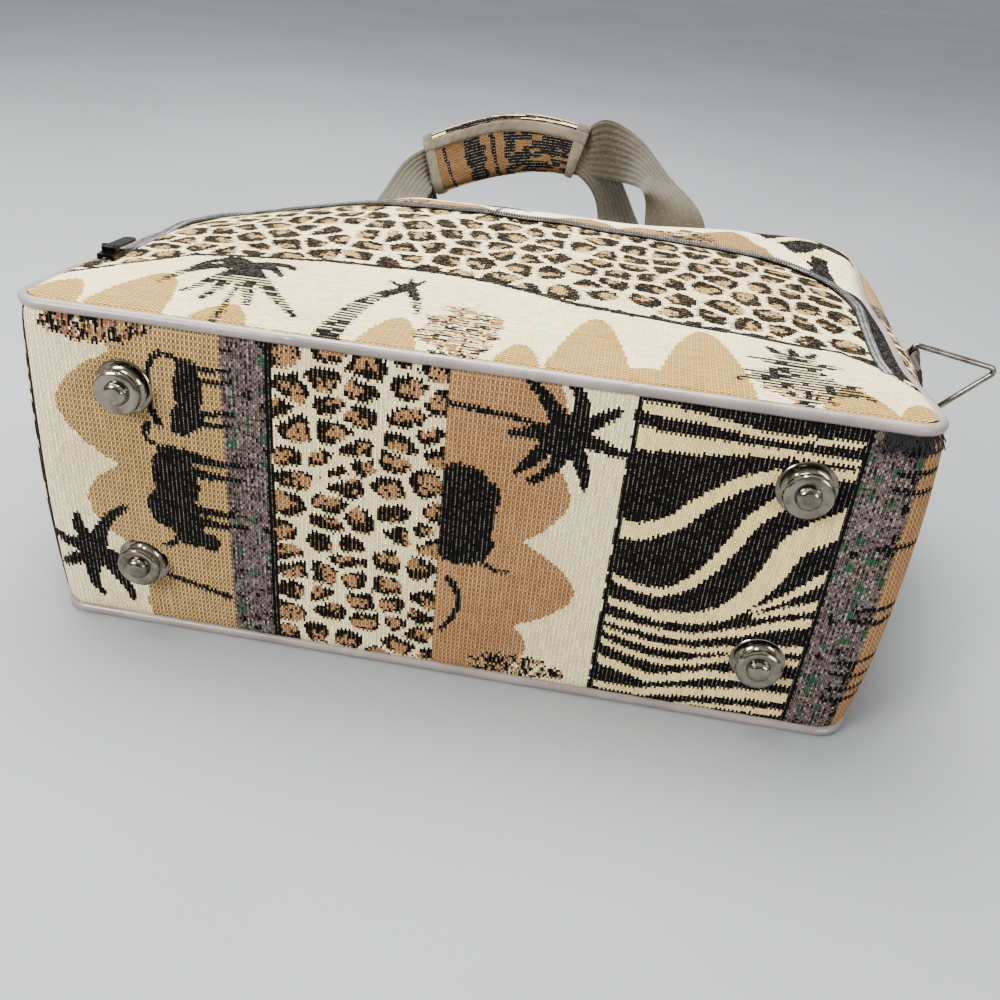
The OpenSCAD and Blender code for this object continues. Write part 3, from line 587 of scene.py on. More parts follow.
class Shader:
    """A node material with short calls for the maths in it."""

    def __init__(self, name):
        self.material = bpy.data.materials.new(name)
        self.material.use_nodes = True
        self.tree = self.material.node_tree
        self.main = self.tree.nodes["Principled BSDF"]

    def node(self, kind, **values):
        made = self.tree.nodes.new(kind)
        for key, value in values.items():
            setattr(made, key, value)
        return made

    def put(self, socket, value):
        if isinstance(value, bpy.types.NodeSocket):
            self.tree.links.new(value, socket)
        else:
            socket.default_value = value

    def math(self, operation, *values):
        made = self.node("ShaderNodeMath", operation=operation)
        for socket, value in zip(made.inputs, values):
            self.put(socket, value)
        return made.outputs[0]

    def times(self, a, b):
        return self.math("MULTIPLY", a, b)

    def plus(self, a, b):
        return self.math("ADD", a, b)

    def minus(self, a, b):
        return self.math("SUBTRACT", a, b)

    def span(self, value, low, high, to_low=0.0, to_high=1.0):
        made = self.node("ShaderNodeMapRange", interpolation_type="SMOOTHSTEP")
        for socket, v in zip(made.inputs, (value, low, high, to_low, to_high)):
            self.put(socket, v)
        return made.outputs[0]

    def blend(self, share, a, b, way="MIX"):
        made = self.node("ShaderNodeMix", data_type="RGBA", blend_type=way)
        self.put(made.inputs[0], share)
        self.put(made.inputs[6], a)
        self.put(made.inputs[7], b)
        return made.outputs[2]

    def noise(self, scale, detail=3.0, rough=0.5):
        made = self.node("ShaderNodeTexNoise")
        self.put(made.inputs["Scale"], scale)
        self.put(made.inputs["Detail"], detail)
        self.put(made.inputs["Roughness"], rough)
        self.put(made.inputs["Vector"], self.coordinates())
        return made.outputs["Fac"]

    def chance(self, u, v):
        """A random number for each pair of whole numbers."""
        cell = self.node("ShaderNodeCombineXYZ")
        self.put(cell.inputs[0], u)
        self.put(cell.inputs[1], v)
        made = self.node("ShaderNodeTexWhiteNoise", noise_dimensions="2D")
        self.put(made.inputs["Vector"], cell.outputs[0])
        return made.outputs["Value"]

    def coordinates(self):
        return self.node("ShaderNodeTexCoord").outputs["Object"]

    def split(self, vector):
        made = self.node("ShaderNodeSeparateXYZ")
        self.put(made.inputs[0], vector)
        return made.outputs

    def uv(self):
        return self.split(self.node("ShaderNodeUVMap", uv_map="weave").outputs[0])[:2]

    def attribute(self, name):
        made = self.node("ShaderNodeAttribute", attribute_name=name)
        return made.outputs["Color"], made.outputs["Alpha"]

    def bump(self, height, distance, strength):
        made = self.node("ShaderNodeBump")
        self.put(made.inputs["Strength"], strength)
        self.put(made.inputs["Distance"], distance)
        self.put(made.inputs["Height"], height)
        return made.outputs[0]

    def ridge(self, value, shift=0.0):
        """Distance from the middle of each unit step, 0 in the middle and 1 at its ends."""
        part = self.math("FRACT", self.plus(value, shift))
        return self.times(self.math("ABSOLUTE", self.minus(part, 0.5)), 2.0)

    def set(self, **values):
        for key, value in values.items():
            self.put(self.main.inputs[key.replace("_", " ")], value)


def colour(*rgb):
    return (*linear(rgb), 1.0)


def tapestry_material():
    """Woven yarns: single threads over and under each other, the second yarn at part of the crossings."""
    s = Shader("tapestry")
    u, v = s.uv()
    rib, pick = s.math("FLOOR", u), s.math("FLOOR", v)
    du, dv = s.ridge(u), s.ridge(v)
    over = s.math("FLOORED_MODULO", s.plus(rib, pick), 2.0)
    second = s.math("LESS_THAN", s.math("FLOORED_MODULO", rib, 2.0), 0.5)

    # The yarn between shows at every other crossing, or as slim dashes on every second rib of a dark yarn
    thread, _ = s.attribute("thread")
    fleck, share = s.attribute("fleck")
    sparse = s.math("GREATER_THAN", share, 1.0)
    dense = s.times(over, s.minus(1.0, sparse))
    dashes = s.times(second, s.span(s.chance(rib, pick), 0.1, 1.0, 0.05, 0.75))
    cross = s.plus(dense, s.times(dashes, sparse))
    slim = s.minus(0.95, s.times(sparse, 0.3))
    dash = s.times(s.span(du, slim, 0.2), s.span(dv, 1.0, 0.5))
    tone = s.blend(s.times(s.times(cross, s.math("FRACT", share)), dash), thread, fleck)

    # Uneven yarn, dirt, and painted shade in the grooves between the threads
    stretch = s.math("FLOOR", s.times(pick, 0.25))
    uneven = s.span(s.chance(rib, stretch), 0.0, 1.0, 0.0, 0.28)
    worn = s.blend(uneven, tone, colour(150, 138, 116), "MULTIPLY")
    dirt = s.span(s.noise(16.0, 5.0), 0.35, 0.75, 0.0, 0.25)
    worn = s.blend(dirt, worn, colour(196, 178, 146), "MULTIPLY")
    # The grooves between the ribs and the ends of the picks are darkened: painted shade
    groove_shade = s.times(s.span(du, 0.5, 1.0), s.plus(0.42, s.times(second, 0.42)))
    gap = s.math("MAXIMUM", groove_shade, s.span(dv, 0.7, 1.0, 0.0, 0.35))
    final = s.blend(gap, worn, colour(104, 88, 62), "MULTIPLY")

    # Each crossing is a small pillow with fibres on it
    round_u = s.minus(1.0, s.times(du, du))
    round_v = s.minus(1.0, s.times(dv, dv))
    pillow = s.times(round_u, s.plus(0.5, s.times(round_v, 0.5)))
    height = s.times(pillow, s.plus(0.65, s.times(over, 0.35)))
    height = s.plus(height, s.times(s.noise(900.0, 2.0), 0.3))
    s.set(Base_Color=final, Roughness=0.95, Specular_IOR_Level=0.06)
    s.set(Normal=s.bump(height, 0.0004, 0.75))
    return s.material


def vinyl_material():
    s = Shader("piping_vinyl")
    cloudy = s.noise(38.0, 4.0)
    fine = s.noise(420.0, 2.0)
    base = s.blend(s.span(cloudy, 0.3, 0.7), colour(112, 104, 99), colour(134, 125, 120))
    scuffs = s.times(s.span(s.noise(150.0, 5.0, 0.7), 0.6, 0.72), 0.5)
    s.set(Base_Color=s.blend(scuffs, base, colour(98, 88, 80)))
    s.set(Specular_IOR_Level=0.5, Coat_Weight=0.25, Coat_Roughness=0.3)
    s.set(Roughness=s.span(cloudy, 0.25, 0.75, 0.28, 0.46), Normal=s.bump(fine, 0.00012, 0.35))
    return s.material


def webbing_material(name, light, dark):
    s = Shader(name)
    u, v = s.uv()
    cross = s.ridge(u)
    lane = s.ridge(v, s.times(s.math("MODULO", s.math("FLOOR", u), 2.0), 0.5))
    fuzz = s.noise(700.0, 2.0)
    base = s.blend(s.span(s.noise(30.0, 4.0), 0.3, 0.7), dark, light)
    # Darker down the grooves between the lanes: painted shade
    lane_shade = s.times(s.span(lane, 0.5, 1.0), 0.45)
    base = s.blend(lane_shade, base, colour(84, 76, 62), "MULTIPLY")
    base = s.blend(s.times(s.span(fuzz, 0.45, 0.8), 0.12), base, colour(150, 142, 122))
    height = s.plus(s.times(s.math("POWER", lane, 2.0), -0.6), s.times(cross, -0.4))
    height = s.plus(height, s.times(fuzz, 0.3))
    s.set(Base_Color=base, Roughness=0.86, Sheen_Weight=0.15, Specular_IOR_Level=0.25)
    s.set(Normal=s.bump(height, 0.0003, 0.8))
    return s.material


def cloth_material(name, light, dark, scale):
    """Plain woven cloth without a picture, from object coordinates."""
    s = Shader(name)
    x, y, z = s.split(s.coordinates())
    one = s.ridge(s.times(s.plus(x, s.times(z, 0.5)), scale))
    two = s.ridge(s.times(s.plus(y, s.times(z, -0.5)), scale))
    base = s.blend(s.span(s.noise(60.0, 4.0), 0.3, 0.7), dark, light)
    # Darker where the threads meet at the corners of each cell: painted shade in the gaps of the weave
    base = s.blend(s.times(s.times(one, two), 0.4), base, dark, "MULTIPLY")
    s.set(Base_Color=base, Roughness=0.9, Sheen_Weight=0.1, Specular_IOR_Level=0.25)
    s.set(Normal=s.bump(s.plus(one, two), 0.0002, 0.6))
    return s.material


def metal_material(name, bright, dull, low, high):
    s = Shader(name)
    stain = s.noise(95.0, 5.0, 0.65)
    scratch = s.noise(900.0, 3.0)
    s.set(Base_Color=s.blend(s.span(stain, 0.35, 0.7), bright, dull), Metallic=1.0)
    s.set(Roughness=s.span(stain, 0.3, 0.75, low, high), Normal=s.bump(scratch, 0.00004, 0.25))
    return s.material


def coil_material():
    s = Shader("zip_coil")
    grime = s.noise(260.0, 4.0)
    s.set(Base_Color=s.blend(s.span(grime, 0.4, 0.75), colour(50, 52, 52), colour(88, 90, 88)))
    s.set(Roughness=s.span(grime, 0.3, 0.8, 0.14, 0.3), Specular_IOR_Level=0.7, Coat_Weight=0.6)
    return s.material


def board_material():
    s = Shader("board")
    fibre = s.noise(180.0, 6.0, 0.7)
    s.set(Base_Color=s.blend(fibre, colour(116, 98, 76), colour(158, 138, 110)), Roughness=0.9)
    s.set(Normal=s.bump(fibre, 0.0003, 0.5))
    return s.material


def floor_material():
    s = Shader("floor")
    s.set(Base_Color=s.blend(s.span(s.noise(3.0), 0.3, 0.7), colour(128, 130, 132), colour(134, 136, 138)))
    s.set(Roughness=0.8)
    return s.material


TAPESTRY = tapestry_material()
VINYL = vinyl_material()
# The webbing's taupe, darkened below its own colour to paint in the shade that the straps lie in
WEBBING = webbing_material("webbing", colour(74, 68, 53), colour(51, 46, 36))
# The binding's taupe, darkened to paint in the shade on the wrap's front
BINDING = cloth_material("binding", colour(106, 97, 82), colour(74, 66, 54), 900.0)
LINING = cloth_material("lining", colour(92, 84, 74), colour(66, 60, 52), 1300.0)
TAPE = cloth_material("zip_tape", colour(40, 40, 43), colour(20, 20, 22), 1000.0)
THREAD = cloth_material("thread", colour(20, 20, 21), colour(9, 9, 10), 1500.0)
COIL = coil_material()
DARK_METAL = metal_material("zip_metal", colour(26, 26, 26), colour(13, 13, 13), 0.28, 0.5)
NICKEL = metal_material("nickel", colour(142, 135, 123), colour(92, 85, 75), 0.07, 0.24)
BOARD = board_material()


def dress(obj, material, body, slot, *replaced):
    """Gives a new piece its material and body and hides the nodes that it stands for; slot is not used."""
    obj.data.materials.append(material)
    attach(obj, body)
    if replaced:
        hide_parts(*replaced)


def dress_node(name, material):
    data = frame["nodes"][name].data
    data.materials.clear()
    data.materials.append(material)


def tapestry_panel(name, node, points, along, up, picture, flip=False):
    """A woven panel: along and up are its points' places on the cloth, and picture weaves its cells."""
    uv = np.stack([up / RIB, along / PICK], axis=-1)
    obj = grid_piece(name, points, uv, picture(cell_middles(along), cell_middles(up)), flip=flip)
    dress(obj, TAPESTRY, "bag", "tapestry", node)


# Base and sides: one strip of cloth on each side of the base seam

BASE_PUFF = 1.8
BASE_SEAM_DIP = 1.3
BASE_SEAM_REACH = 1.5


def gusset_grid(side):
    """Points of a gusset, with the place along it from the seam and across it from the back piping."""
    start = side * BASE_SEAM_X
    over_top = HALF_W - TOP_CORNER_R - node_box("top_strip_front")[1][0]
    length = outline_length(start) + over_top
    s = np.linspace(0, length, int(length / RIB) + 1)
    x, y, nx, ny = outline(s, start)
    low = PIPING_R + SEAM_IN
    high = front_edge_z(y) - SEAM_IN
    rows = int((FRONT_BASE_Z - 2 * PIPING_R) / PICK) + 1
    fine = np.linspace(0, 1, 500)
    arched = np.sqrt(np.sin(math.pi * fine))
    on_base = 1 - smooth((s - (HALF_W - BASE_CORNER_R - start)) / (1.2 * BASE_CORNER_R))
    points = np.zeros((len(s), rows, 3))
    across = np.zeros((len(s), rows))
    for k in range(len(s)):
        out = side_bulge(y[k]) * arched + BASE_PUFF * on_base[k] * arched
        z = mix(low, high[k], fine)
        run = np.concatenate([[0], np.cumsum(np.hypot(np.diff(z), np.diff(out)))])
        at = np.linspace(0, run[-1], rows)
        edge = np.minimum(at, run[-1] - at)
        out = np.interp(at, run, out) + FABRIC_T / 2 - TUCK * np.exp(-edge / TUCK_REACH)
        out = out - BASE_SEAM_DIP * math.exp(-s[k] / BASE_SEAM_REACH)
        z = mix(low, high[k], np.interp(at, run, fine))
        points[k] = np.stack([x[k] + nx[k] * out, y[k] + ny[k] * out, z], axis=-1)
        across[k] = at
    return points, np.repeat(s[:, None], rows, axis=1), across, np.stack([nx, ny, 0 * nx], axis=-1)


def soften(points, normals, s, across, side):
    """Small hollows, seam puckers and slack that keep a panel from looking machined."""
    edge = np.minimum(across, across.max(axis=1, keepdims=True) - across)
    pucker = 0.3 * np.exp(-edge / 7) * (noise(s / 4.5, across / 60, 31 + side) - 0.5) * 2
    slack = 1.1 * (noise(s / 55, across / 48, 33 + side) - 0.5) * np.clip(edge / 20, 0, 1)
    crease = 0.5 * (noise(s / 16, across / 30, 35 + side) - 0.5) * np.clip(edge / 8, 0, 1)
    return points + (pucker + slack + crease)[..., None] * normals[:, None]


# Fronds of a palm: direction in degrees, share of its reach, droop
PALM_FRONDS = ((160, 1, 0.5), (115, 0.9, 0.1), (65, 0.9, 0.1), (20, 1, 0.5), (-30, 0.9, 0.3), (210, 0.9, 0.3))

# Trunks in the grass: place along it and lean
TRUNKS = ((18, 4), (24, 2), (33, -3), (39, 3), (61, -2), (66, 4), (96, 3), (122, -4), (129, 2), (137, 3))

# Lines and bands of the two gussets, by their place along the cloth
GRASS_BAND = 19
LINE_RIGHT = 68
LINE_GRASS = 152
LINE_ABOVE = LINE_GRASS + 96
GRASS_LEFT = 75
LINE_LEFT = 178
LINE_FAR_LEFT = LINE_LEFT + BAND


def landscape_right(cloth, low):
    """Hills and animals that stand on the base seam, to the right of it."""
    cloth.hills(low, 28, ((97, 22, 51), (52, 20, 58), (18, 14, 41), (132, 24, 46)), BROWN)
    upper = ((150, 1, 0.2), (105, 0.9, -0.1), (60, 0.9, 0.1), (20, 0.8, 0.6))
    lower = ((-35, 0.9, 0.2), (-100, 0.8, 0), (-140, 1, 0), (190, 0.9, 0.5))
    cloth.palm((131, low), (126, low + 46), 26, upper + lower)
    cloth.blob(86, low + 8, 20, 15)
    cloth.blob(70, low + 9, 12, 14)
    cloth.blob(92, low + 17, 8, 7, 30)
    cloth.limb((62, low + 18), (56, low + 24), (58, low + 30), 1.2, 1.0)
    cloth.limb((50, low + 5), (38, low + 17), (22, low + 3), 1.7, 1.0)
    cloth.bush(7, low + 36, 7, 24, 41)


def landscape_left(cloth, low):
    """Hills and animals that stand on the grass to the left of the leopard band."""
    cloth.hills(low, 40, ((106, 23, 71), (61, 19, 63), (14, 28, 41), (152, 24, 50)), TAN)
    upper = ((165, 0.9, 0.4), (120, 0.8, 0.1), (75, 0.9, 0.1), (30, 0.8, 0.3))
    cloth.palm((20, low + 2), (34, low + 62), 27, upper + ((-20, 1.0, 0.4), (215, 1.1, -0.2), (255, 0.8, 0)))
    cloth.grazer(73, low + 19, 1.12, -1)
    cloth.cat(117, low + 14, 1.0, -1)
    cloth.bush(141, low + 50, 6, 26, 45)


def trunks(cloth, low):
    """Thin trunks and legs that rise from the grass round the right-hand corner."""
    for along, lean in TRUNKS:
        cloth.limb((along, low), (along + lean, low + 22), (along - lean, low + 46), 1.3, 0.8)


def gusset_cloth_right(across, s):
    cloth = Cloth(across, s + BASE_SEAM_X, ribbed=True)
    landscape_right(cloth, BASE_SEAM_X)
    cloth.line(LINE_RIGHT)
    zebra = cloth.between(LINE_RIGHT + 1, LINE_GRASS)
    cloth.zebra(zebra, (cloth.up - LINE_RIGHT) / BAND, across / across.max(axis=1, keepdims=True))
    cloth.line(LINE_GRASS)
    low = LINE_GRASS + 1 + GRASS_BAND
    cloth.grass(cloth.between(LINE_GRASS + 1, low), 51)
    cloth.hills(low, 30, ((20, 22, 52), (62, 22, 58), (104, 20, 50), (140, 18, 54)), BROWN)
    trunks(cloth, low - 6)
    cloth.cat(84, low + 32, 0.9, 1)
    cloth.line(LINE_ABOVE)
    cloth.leopard(cloth.between(LINE_ABOVE + 1, LINE_ABOVE + BAND), 53)
    cloth.line(LINE_ABOVE + BAND)
    low = LINE_ABOVE + BAND + 1 + GRASS_BAND
    cloth.grass(cloth.between(LINE_ABOVE + BAND + 1, low), 55)
    cloth.hills(low, 26, ((24, 24, 48), (74, 26, 54), (122, 24, 46)), TAN)
    trunks(cloth, low - 4)
    return cloth


def gusset_cloth_left(across, s):
    cloth = Cloth(across, s - BASE_SEAM_X, ribbed=True)
    low = GRASS_LEFT + GRASS_BAND
    cloth.leopard(cloth.between(-10, GRASS_LEFT), 57)
    cloth.grass(cloth.between(GRASS_LEFT, low), 59)
    landscape_left(cloth, low)
    cloth.line(GRASS_LEFT)
    cloth.line(LINE_LEFT - 1, 4)
    zebra = cloth.between(LINE_LEFT, LINE_FAR_LEFT)
    cloth.zebra(zebra, (cloth.up - LINE_LEFT) / BAND, 1 - across / across.max(axis=1, keepdims=True))
    cloth.line(LINE_FAR_LEFT)
    low = LINE_FAR_LEFT + 1 + GRASS_BAND
    cloth.grass(cloth.between(LINE_FAR_LEFT + 1, low), 61)
    cloth.hills(low, 28, ((26, 24, 50), (74, 25, 56), (122, 24, 48)), BROWN)
    cloth.grazer(84, low + 18, 0.8, 1)
    cloth.palm((28, low), (30, low + 46), 24, PALM_FRONDS)
    cloth.line(low + 76)
    cloth.leopard(cloth.between(low + 77, low + 200), 63)
    return cloth


def make_gusset(side, name, node, picture):
    points, s, across, normals = gusset_grid(side)
    points = soften(points, normals, s, across, side)
    points[..., 0] *= side
    tapestry_panel(name, node, settle(points), across, s, picture, side > 0)


make_gusset(1, "gusset_cloth_right", "gusset_right", gusset_cloth_right)
make_gusset(-1, "gusset_cloth_left", "gusset_left", gusset_cloth_left)

# Front: pocket panel, arched border and the zip between them

# Half width of the zip, height of its ends and of its top, and radius of its bends; then the same of
# the border's rim
POCKET_ARCH = (POCKET_ZIP_X, POCKET_ZIP_END_H, POCKET_ZIP_H, POCKET_ARCH_R)
BORDER_ARCH = (HALF_W, POCKET_ZIP_END_H, BODY_H, TOP_CORNER_R)

# Cells of the border along each of its five stretches, and points across it
BORDER_COUNTS = (52, 66, 226, 66, 52)
BORDER_ROWS = 62

# Height of the line under the leopard band, which follows the front's own swell
LINE_X = (-174, -160, -135, -78, -40, 0, 34, 60, 150, 164, 174)
LINE_H = (34, 47, 71, 83, 85, 80, 69, 66, 68, 57, 38)

# Zip coils: half width and half height of a loop, from loop to loop, and radius of the wire
COIL_HALF_W = 1.35
COIL_HALF_H = 0.85
COIL_PITCH = 1.35
COIL_WIRE_R = 0.34
COIL_STEP = 1.5
POCKET_COIL_GAP = 1.05
POCKET_TAPE_HALF = 5.5
POCKET_TAPE_DROP = -2.0


def corner_inset(r, d):
    return r - np.sqrt(np.maximum(0, r * r - np.maximum(0, d) ** 2))


def body_inset(h):
    """How far the body's rounded corners draw in its sides at a height above the base edge."""
    low = corner_inset(BASE_CORNER_R, BASE_CORNER_R - h)
    return np.maximum(low, corner_inset(TOP_CORNER_R, h - BODY_H + TOP_CORNER_R))


def panel_grid(h, half_w, count):
    """Places x and h of a panel with count points on each of its rows."""
    x = half_w[:, None] * np.linspace(-1, 1, count)[None]
    return x, np.repeat(h[:, None], count, axis=1)


def pocket_half_w(h):
    """Half width of the pocket panel at a height above the base edge."""
    below = HALF_W - SEAM_IN - corner_inset(BASE_CORNER_R - SEAM_IN, BASE_CORNER_R - h)
    r = POCKET_ARCH_R - POCKET_ZIP_GAP / 2
    above = POCKET_ZIP_X - POCKET_ZIP_GAP / 2 - corner_inset(r, h - (POCKET_ZIP_H - POCKET_ARCH_R))
    return mix(below, above, smooth((h - POCKET_ZIP_END_H + 3) / 5))


def front_surface(x, h, lift=0.0):
    y = h + BASE_Y
    z = front_mid_z(x, y) + FABRIC_T / 2 + lift
    edge = np.minimum(HALF_W - np.abs(x), np.minimum(h, BODY_H - h))
    z = z - TUCK * np.exp(-np.maximum(edge - 1, 0) / TUCK_REACH)
    slack = 2.2 * (noise(x / 62 + 9, h / 46, 71) - 0.5) + 0.8 * (noise(x / 21, h / 17, 72) - 0.5)
    pucker = 0.35 * np.exp(-np.maximum(edge, 0) / 8) * (noise(x / 4.5, h / 4.5, 73) - 0.5)
    z = z + slack * np.clip(edge / 22, 0, 1) + pucker
    return settle(np.stack([x, y, z], axis=-1))


def front_cloth(x, h):
    cloth = Cloth(x, h, ribbed=True)
    left = ((-165, 10, 26), (-134, 13, 44), (-96, 9, 19), (-30, 9, 30), (20, 7, 20))
    right = ((47, 13, 57), (70, 16, 16), (91, 15, 61), (147, 11, 24), (171, 8, 18))
    cloth.hills(0, 2, left + right, SAND, 0.36)
    ground = cloth.yarn.copy()
    arms = ((165, 0.8, 1.1), (140, 0.7, 0.9), (30, 0.8, 0.6), (5, 0.6, 0.8))
    skirt = ((-70, 1.6, 0), (-52, 2.1, 0), (-95, 1.5, 0), (-112, 1.4, 0), (205, 1.1, 0.8))
    cloth.palm((-97, 0), (-106, 62), 28, arms + skirt)
    cloth.giraffe(-53, 0, 1.0)
    cloth.bush(-5, 24, 16, 28, 75)
    crown = ((160, 0.8, 0.2), (118, 0.9, 0), (92, 0.9, 0), (66, 0.9, 0), (25, 0.8, 0.2))
    cloth.palm((128, 4), (128, 38), 24, crown)
    cloth.bush(127, 16, 13, 16, 77)
    shrub = ((170, 0.9, 0.5), (130, 1, 0.3), (90, 0.9, 0), (50, 1, 0.3), (10, 0.9, 0.5))
    for place in ((117, 20), (140, 17), (128, 26)):
        cloth.palm((128, 2), place, 15, shrub)
    bare = (np.mod(cloth.rib, 3) < 1) & (hashed(np.floor(x / 4), cloth.rib, 76) > 0.2)
    bare = bare & (h < 50) & (cloth.yarn == BLACK)
    cloth.yarn[bare] = ground[bare]
    far = h - np.interp(x, LINE_X, LINE_H)
    cloth.leopard(far > 1, 79, (15.5, 14.5), 1.2, 4.4, TAN)
    cloth.fill(np.abs(far) < 1.7, BLACK)
    return cloth


def border_cloth(x, h):
    cloth = Cloth(x, h)
    low = POCKET_ZIP_H + 4
    humps = ((-140, 24, 34), (-96, 22, 40), (-44, 24, 36), (30, 17, 30), (64, 15, 27), (118, 34, 44))
    cloth.hills(low - 8, 8, humps, TAN)
    cloth.bush(86, low + 12, 16, 13, 85)
    cloth.bush(-70, low + 14, 15, 14, 87)
    cloth.palm((-18, low - 4), (-14, low + 32), 19, PALM_FRONDS)
    cloth.line(low + 52)
    corner = x - 126 + 0.7 * (h - low - 12) + 6 * (noise(x / 8, h / 8, 89) - 0.5)
    cloth.fill(corner > 0, CREAM)
    stripes = (h > low + 53) | (corner > 15)
    drift = (x + 160) / BAND
    cloth.zebra(stripes, np.mod(drift, 1), np.mod(h / 96 + 0.4 * drift, 1))
    cloth.grass((x < -143 + 6 * (noise(x / 8, h / 8, 92) - 0.5)) & (h < low + 20), 81)
    fold = x - 149 + 5 * (noise(x / 7, h / 7, 90) - 0.5)
    cloth.fill((fold > 0) & (h < low + 18), BLACK)
    cloth.fill((fold > 11) & (h > low - 12) & (h < low + 34), CREAM)
    return cloth


def make_front_panel():
    top = POCKET_ZIP_H - POCKET_ZIP_GAP / 2
    h = np.linspace(SEAM_IN, top, int(POCKET_ZIP_H / RIB))
    x, h = panel_grid(h, pocket_half_w(h), int(2 * HALF_W / PICK) + 1)
    lip = 0.5 * np.exp(-(top - h) / 3.5) * smooth((POCKET_ZIP_X - np.abs(x) - 20) / 40)
    points = front_surface(x, h, lip)
    tapestry_panel("pocket_cloth", "pocket_panel", points, x, h, front_cloth, True)


def arch(x, end_h, top_h, r, shares):
    """A path up the left leg, over the arch and down the right leg: places and outward directions.

    The shares count its five stretches, from 0 to 5.
    """
    leg = top_h - r - end_h
    done = [np.clip(shares - k, 0, 1) for k in range(5)]
    first, second = done[1] * math.pi / 2, done[3] * math.pi / 2
    px = -x + r * (1 - np.cos(first)) + 2 * (x - r) * done[2] + r * np.sin(second)
    ph = end_h + leg * (done[0] - done[4]) + r * np.sin(first) - r * (1 - np.cos(second))
    return px, ph, -np.cos(first + second), np.sin(first + second)


def arch_shares(x, end_h, top_h, r, step):
    """Shares of an arch's stretches at even steps along it."""
    leg = top_h - r - end_h
    ends = np.cumsum((0, leg, r * math.pi / 2, 2 * (x - r), r * math.pi / 2, leg))
    return np.interp(np.linspace(0, ends[-1], int(ends[-1] / step) + 1), ends, np.arange(6))


def make_border():
    shares = np.concatenate([k + np.arange(n) / n for k, n in enumerate(BORDER_COUNTS)] + [[5.0]])
    ix, ih, inx, inh = arch(*POCKET_ARCH, shares)
    ox, oh, onx, onh = arch(*BORDER_ARCH, shares)
    gap = POCKET_ZIP_GAP / 2
    t = np.linspace(0, 1, BORDER_ROWS)
    x = mix((ix + gap * inx)[:, None], (ox - SEAM_IN * onx)[:, None], t[None])
    h = mix((ih + gap * inh)[:, None], (oh - SEAM_IN * onh)[:, None], t[None])
    points = front_surface(x, h)
    tapestry_panel("border_cloth", "front_border", points, x, h, border_cloth)


def make_lining():
    h = np.linspace(PIPING_R, BODY_H - PIPING_R, 60)
    x, h = panel_grid(h, HALF_W - PIPING_R - body_inset(h), 80)
    y = h + BASE_Y
    sag = 5 * np.sin(math.pi * h / BODY_H) * np.clip(1 - (x / HALF_W) ** 2, 0, 1)
    points = settle(np.stack([x, y, front_edge_z(y) - 1 - sag], axis=-1))
    obj = grid_piece("pocket_lining", points, flip=True)
    dress(obj, LINING, "bag", "lining", "pocket_wall")


def coil_rows(path, out, up, phase):
    """A flattened helix along a path: a row of round wire loops."""
    run = runs(path)
    at = np.linspace(0, run[-1], int(run[-1] / COIL_PITCH) * 9 + 1)
    a = 2 * math.pi * at / COIL_PITCH + phase

    def carry(rows):
        return np.stack([np.interp(at, run, rows[:, k]) for k in range(3)], axis=-1)

    centre, side, rise = carry(path), unit(carry(out)), unit(carry(up))
    line = centre + side * (COIL_HALF_W * np.cos(a))[:, None] + rise * (COIL_HALF_H * np.sin(a))[:, None]
    heading = headings(line)
    normal = unit(np.cross(heading, side + 1e-4))
    return swept(line, unit(np.cross(normal, heading)), normal, round_section(COIL_WIRE_R, 5))


def make_coil(name, path, out, up, half_gap, node):
    """Two rows of loops that mesh in the middle of the zip."""
    for sign, end, phase, replaced in ((-1, "_left", 0, [node]), (1, "_right", math.pi, [])):
        rows = coil_rows(path + sign * half_gap * out, out, up, phase)
        dress(grid_piece(name + end, rows, tube=True, capped=True), COIL, "bag", "zip", *replaced)


def make_pocket_zip():
    px, ph, nx, nh = arch(*POCKET_ARCH, arch_shares(*POCKET_ARCH, COIL_STEP))
    lift = mix(-0.4, 1.5, smooth((ph - 105) / 30))
    path = front_surface(px, ph, lift)
    out = unit(front_surface(px + nx, ph + nh, lift) - front_surface(px - nx, ph - nh, lift))
    up = unit(np.cross(out, headings(path)))
    make_coil("pocket_coil", path, out, up, POCKET_COIL_GAP, "pocket_zip_coil")
    across = np.linspace(-1, 1, 9) * POCKET_TAPE_HALF
    tape = np.stack([front_surface(px + k * nx, ph + k * nh, POCKET_TAPE_DROP) for k in across], axis=1)
    obj = grid_piece("pocket_tape", tape)
    dress(obj, TAPE, "bag", "zip", "pocket_zip_tape")


make_front_panel()
make_border()
make_lining()
make_pocket_zip()

# Top strips, main zip and back

MAIN_COIL_GAP = 0.85
MAIN_COIL_DROP = 1.25
BACK_COARSENESS = 1.6


def top_strip(name, node, low, high, seed, picture):
    half = node_box(node)[1][0] + 2
    x = np.linspace(-half, half, int(2 * half / PICK))
    z = np.linspace(low, high, int((high - low) / PICK))
    x, z = np.meshgrid(x, z, indexing="ij")
    edge = np.minimum(z - low, high - z)
    puff = -0.5 + 0.5 * (noise(x / 30, z / 20, seed) - 0.5)
    y = TOP_Y + FABRIC_T / 2 + puff - TUCK * np.exp(-edge / TUCK_REACH)
    points = settle(np.stack([x, y, z], axis=-1))
    uv = np.stack([z / RIB, x / PICK], axis=-1)
    obj = grid_piece(name, points, uv, picture(cell_middles(x), cell_middles(z) - low))
    dress(obj, TAPESTRY, "bag", "tapestry", node)


def strip_cloth_front(x, up):
    cloth = Cloth(x, up)
    cloth.hills(0, 12, tuple((c, 24, 26 + 8 * math.sin(c)) for c in range(-140, 160, 47)), TAN)
    cloth.line(40)
    cloth.leopard(cloth.between(41, 90), 91)
    return cloth


def strip_cloth_back(x, up):
    cloth = Cloth(x, up)
    cloth.zebra(cloth.between(-5, 60), np.mod(x / BAND, 1), np.clip(up / 60, 0, 1))
    return cloth


